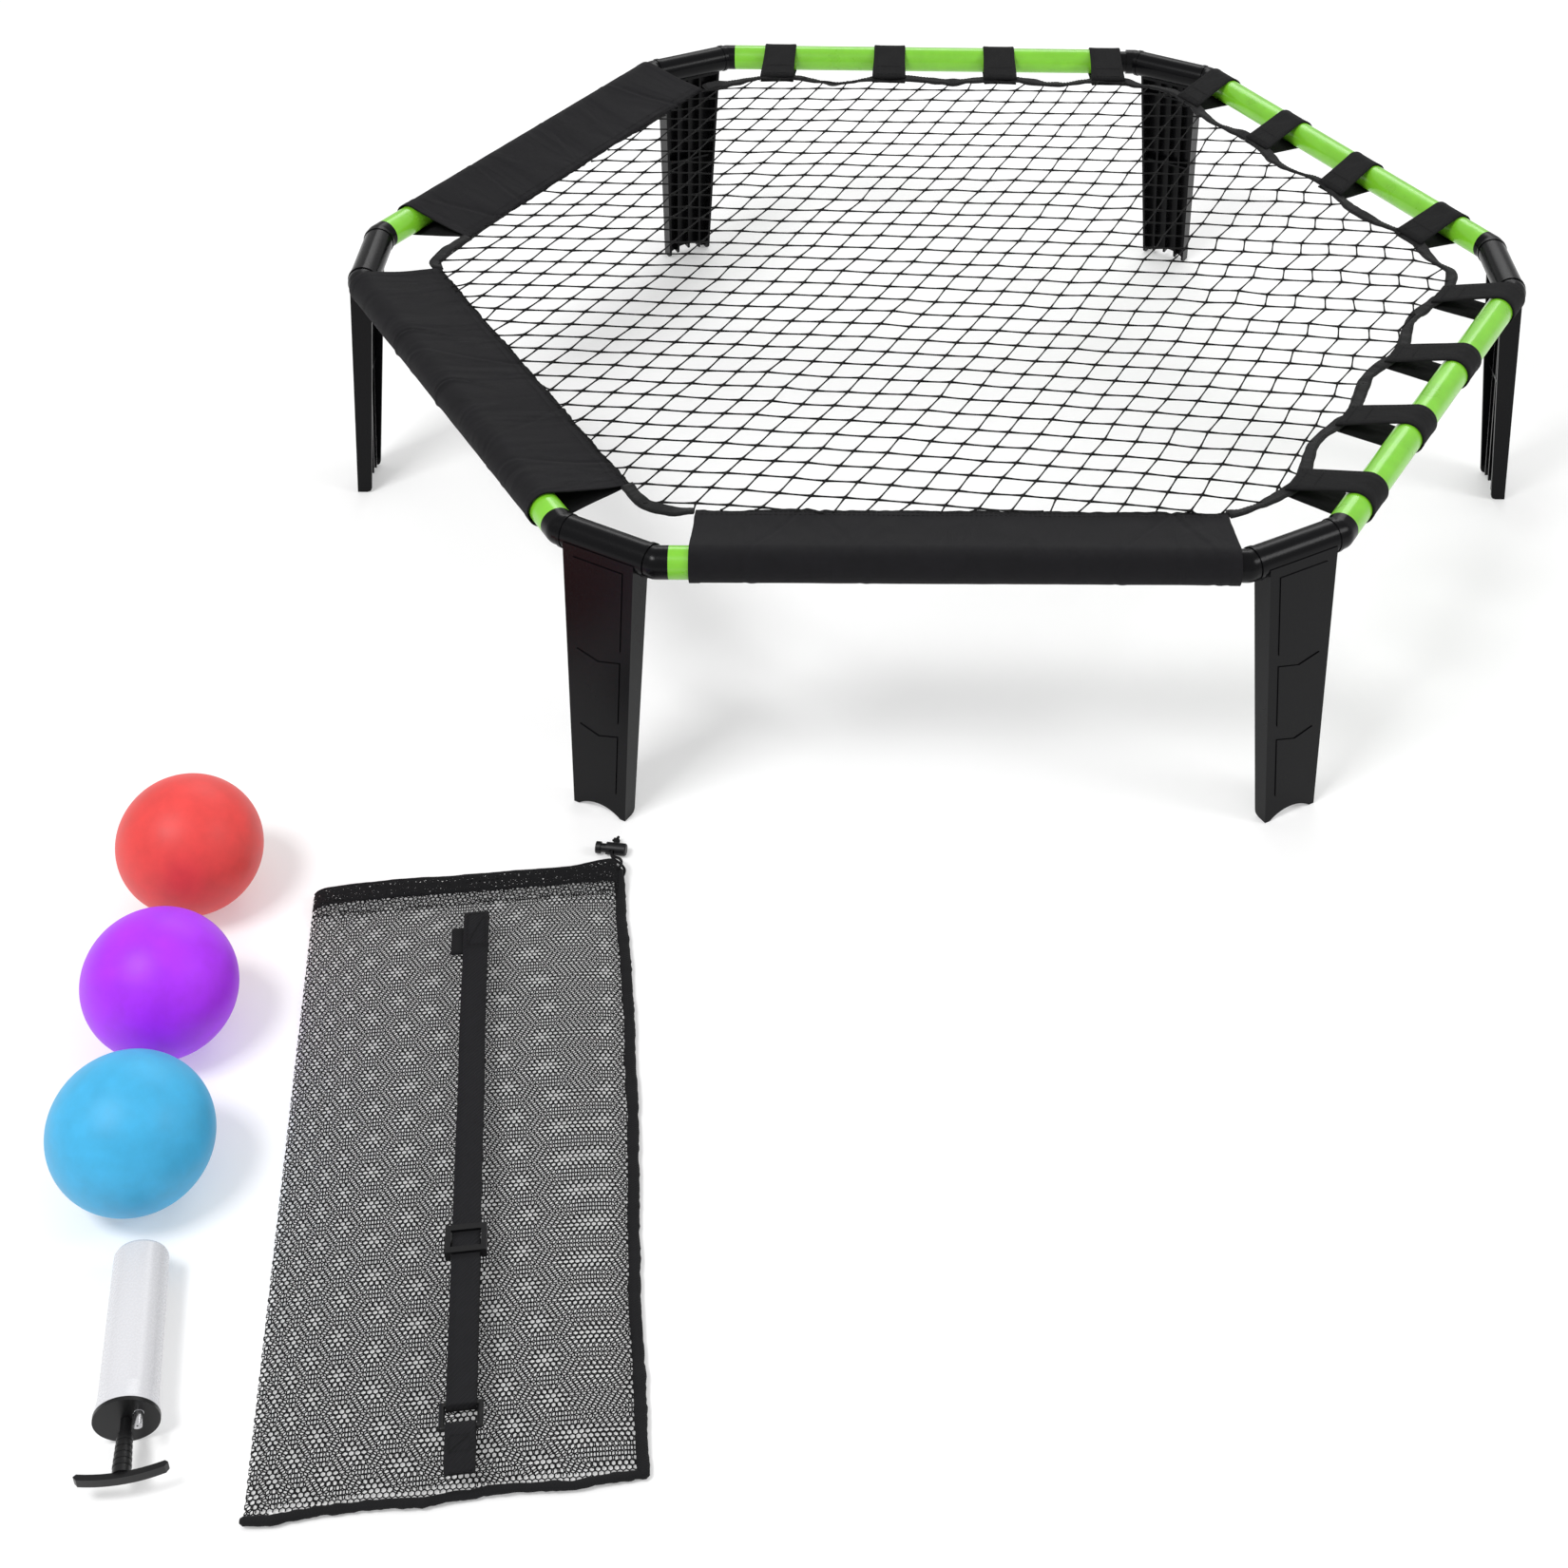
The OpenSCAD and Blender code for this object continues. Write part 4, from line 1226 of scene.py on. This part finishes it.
# Blender adds a number to a name that a CAD material already has
MATS = {made.name.split(".")[0]: made for made in (
    moulded("moulded_black", (0.003, 0.003, 0.0036), 0.24, gloss=0.13),
    tube_green(),
    cloth("cover_cloth", (0.008, 0.0077, 0.0092), 0.7 * MM),
    cloth("tab_cloth", (0.006, 0.006, 0.0065), 0.9 * MM),
    cloth("binding", (0.012, 0.012, 0.0125), 0.8 * MM, sheen=0.06),
    twine("thread", (0.014, 0.014, 0.0145)),
    twine("net_twine", (0.006, 0.006, 0.006)),
    rubber("red_rubber", (0.74, 0.055, 0.05)),
    rubber("purple_rubber", (0.40, 0.02, 0.87)),
    rubber("blue_rubber", (0.045, 0.40, 0.70)),
    rubber("black_rubber", (0.02, 0.02, 0.02)),
    moulded("pump_white", (0.64, 0.64, 0.665), 0.27, 0.003, 0.5, 0.008, 0.02),
    moulded("pump_black", (0.006, 0.006, 0.0065), 0.36),
    plated("plated_needle"),
    cloth("bag_mesh", (0.009, 0.009, 0.010), 0.5 * MM, uv=False),
    cloth("hem_cloth", (0.009, 0.009, 0.010), 1.6 * MM),
    webbing("strap_webbing", (0.009, 0.009, 0.0105)),
    moulded("buckle", (0.005, 0.005, 0.0055), 0.34),
    twine("cord", (0.008, 0.008, 0.009)),
    moulded("lock", (0.007, 0.007, 0.008), 0.42),
    plated("spring_wire"),
)}

add_wrinkles(MATS["cover_cloth"], 34, 5.0 * MM, (1, 0.32, 1))
add_wrinkles(MATS["tab_cloth"], 60, 1.6 * MM, (0.5, 1, 1))
add_wrinkles(MATS["binding"], 90, 1.8 * MM, (1, 0.5, 1))
add_studio()
add_drawcord()

CAD_LOOKS = {
    "leg_": "moulded_black", "elbows_": "moulded_black", "rail_": "tube_green",
    "ball_red_valve": "black_rubber", "ball_purple_valve": "black_rubber",
    "ball_blue_valve": "black_rubber", "ball_red": "red_rubber",
    "ball_purple": "purple_rubber", "ball_blue": "blue_rubber",
    "pump_barrel": "pump_white", "pump_piston_ring": "black_rubber", "pump_needle": "plated_needle",
    "pump_": "pump_black", "strap_slider": "buckle", "strap_ring": "buckle",
    "cord_lock_spring": "spring_wire", "cord_lock_": "lock",
}


def dress_cad_nodes():
    """Gives each CAD node the first look whose key starts the node's name."""
    for node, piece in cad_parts.items():
        for start, look in CAD_LOOKS.items():
            if node.startswith(start):
                piece.data.materials.clear()
                piece.data.materials.append(MATS[look])
                break


dress_cad_nodes()


def add_lock_coil():
    """The lock's spring, a copy of its CAD mesh riding on the plunger body. The real spring shortens
    against the barrel's end as the button goes in.
    """
    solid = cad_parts["cord_lock_spring"]
    coil = place_object("cord_lock_coil", solid.data.copy())
    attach(coil, "lock_plunger_body")
    stand_in(coil, "cord_lock_spring")
    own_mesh(coil)


add_lock_coil()

for cover_name, (side, start, stop, folds, laps) in COVERS.items():
    skin = cover(cover_name + "_cloth", side, start, stop, folds, laps)
    stand_in(skin, cover_name)
    cover_stitching(cover_name + "_thread", side, start, stop)

tape_paths = [tape_path(strip) for strip in TAPE_STRIPS]
stand_in(edge_tape("net_edge_binding", tape_paths), "net_edge_tape")

for tab_name, tab_side in (("tabs_right_front", 5), ("tabs_right_back", 0), ("tabs_back", 1)):
    stand_in(tab_set(tab_name + "_cloth", tab_side), tab_name)

path_a, path_f, path_long = tape_paths
net_rim = [Vector((p.x, p.y)) / MM for p in path_a + path_long + path_f]
stand_in(build_net("net_twine", net_rim), "net")

hidden_cord()
stand_in(seam_binding("bag_seam_roll"), "bag_seam_binding")
stand_in(mouth_hem("bag_mouth_hem_cloth"), "bag_mouth_hem")
cloth_of_bag = stand_in(bag_cloth("bag_mesh_cloth"), "bag_body")
add_strap()
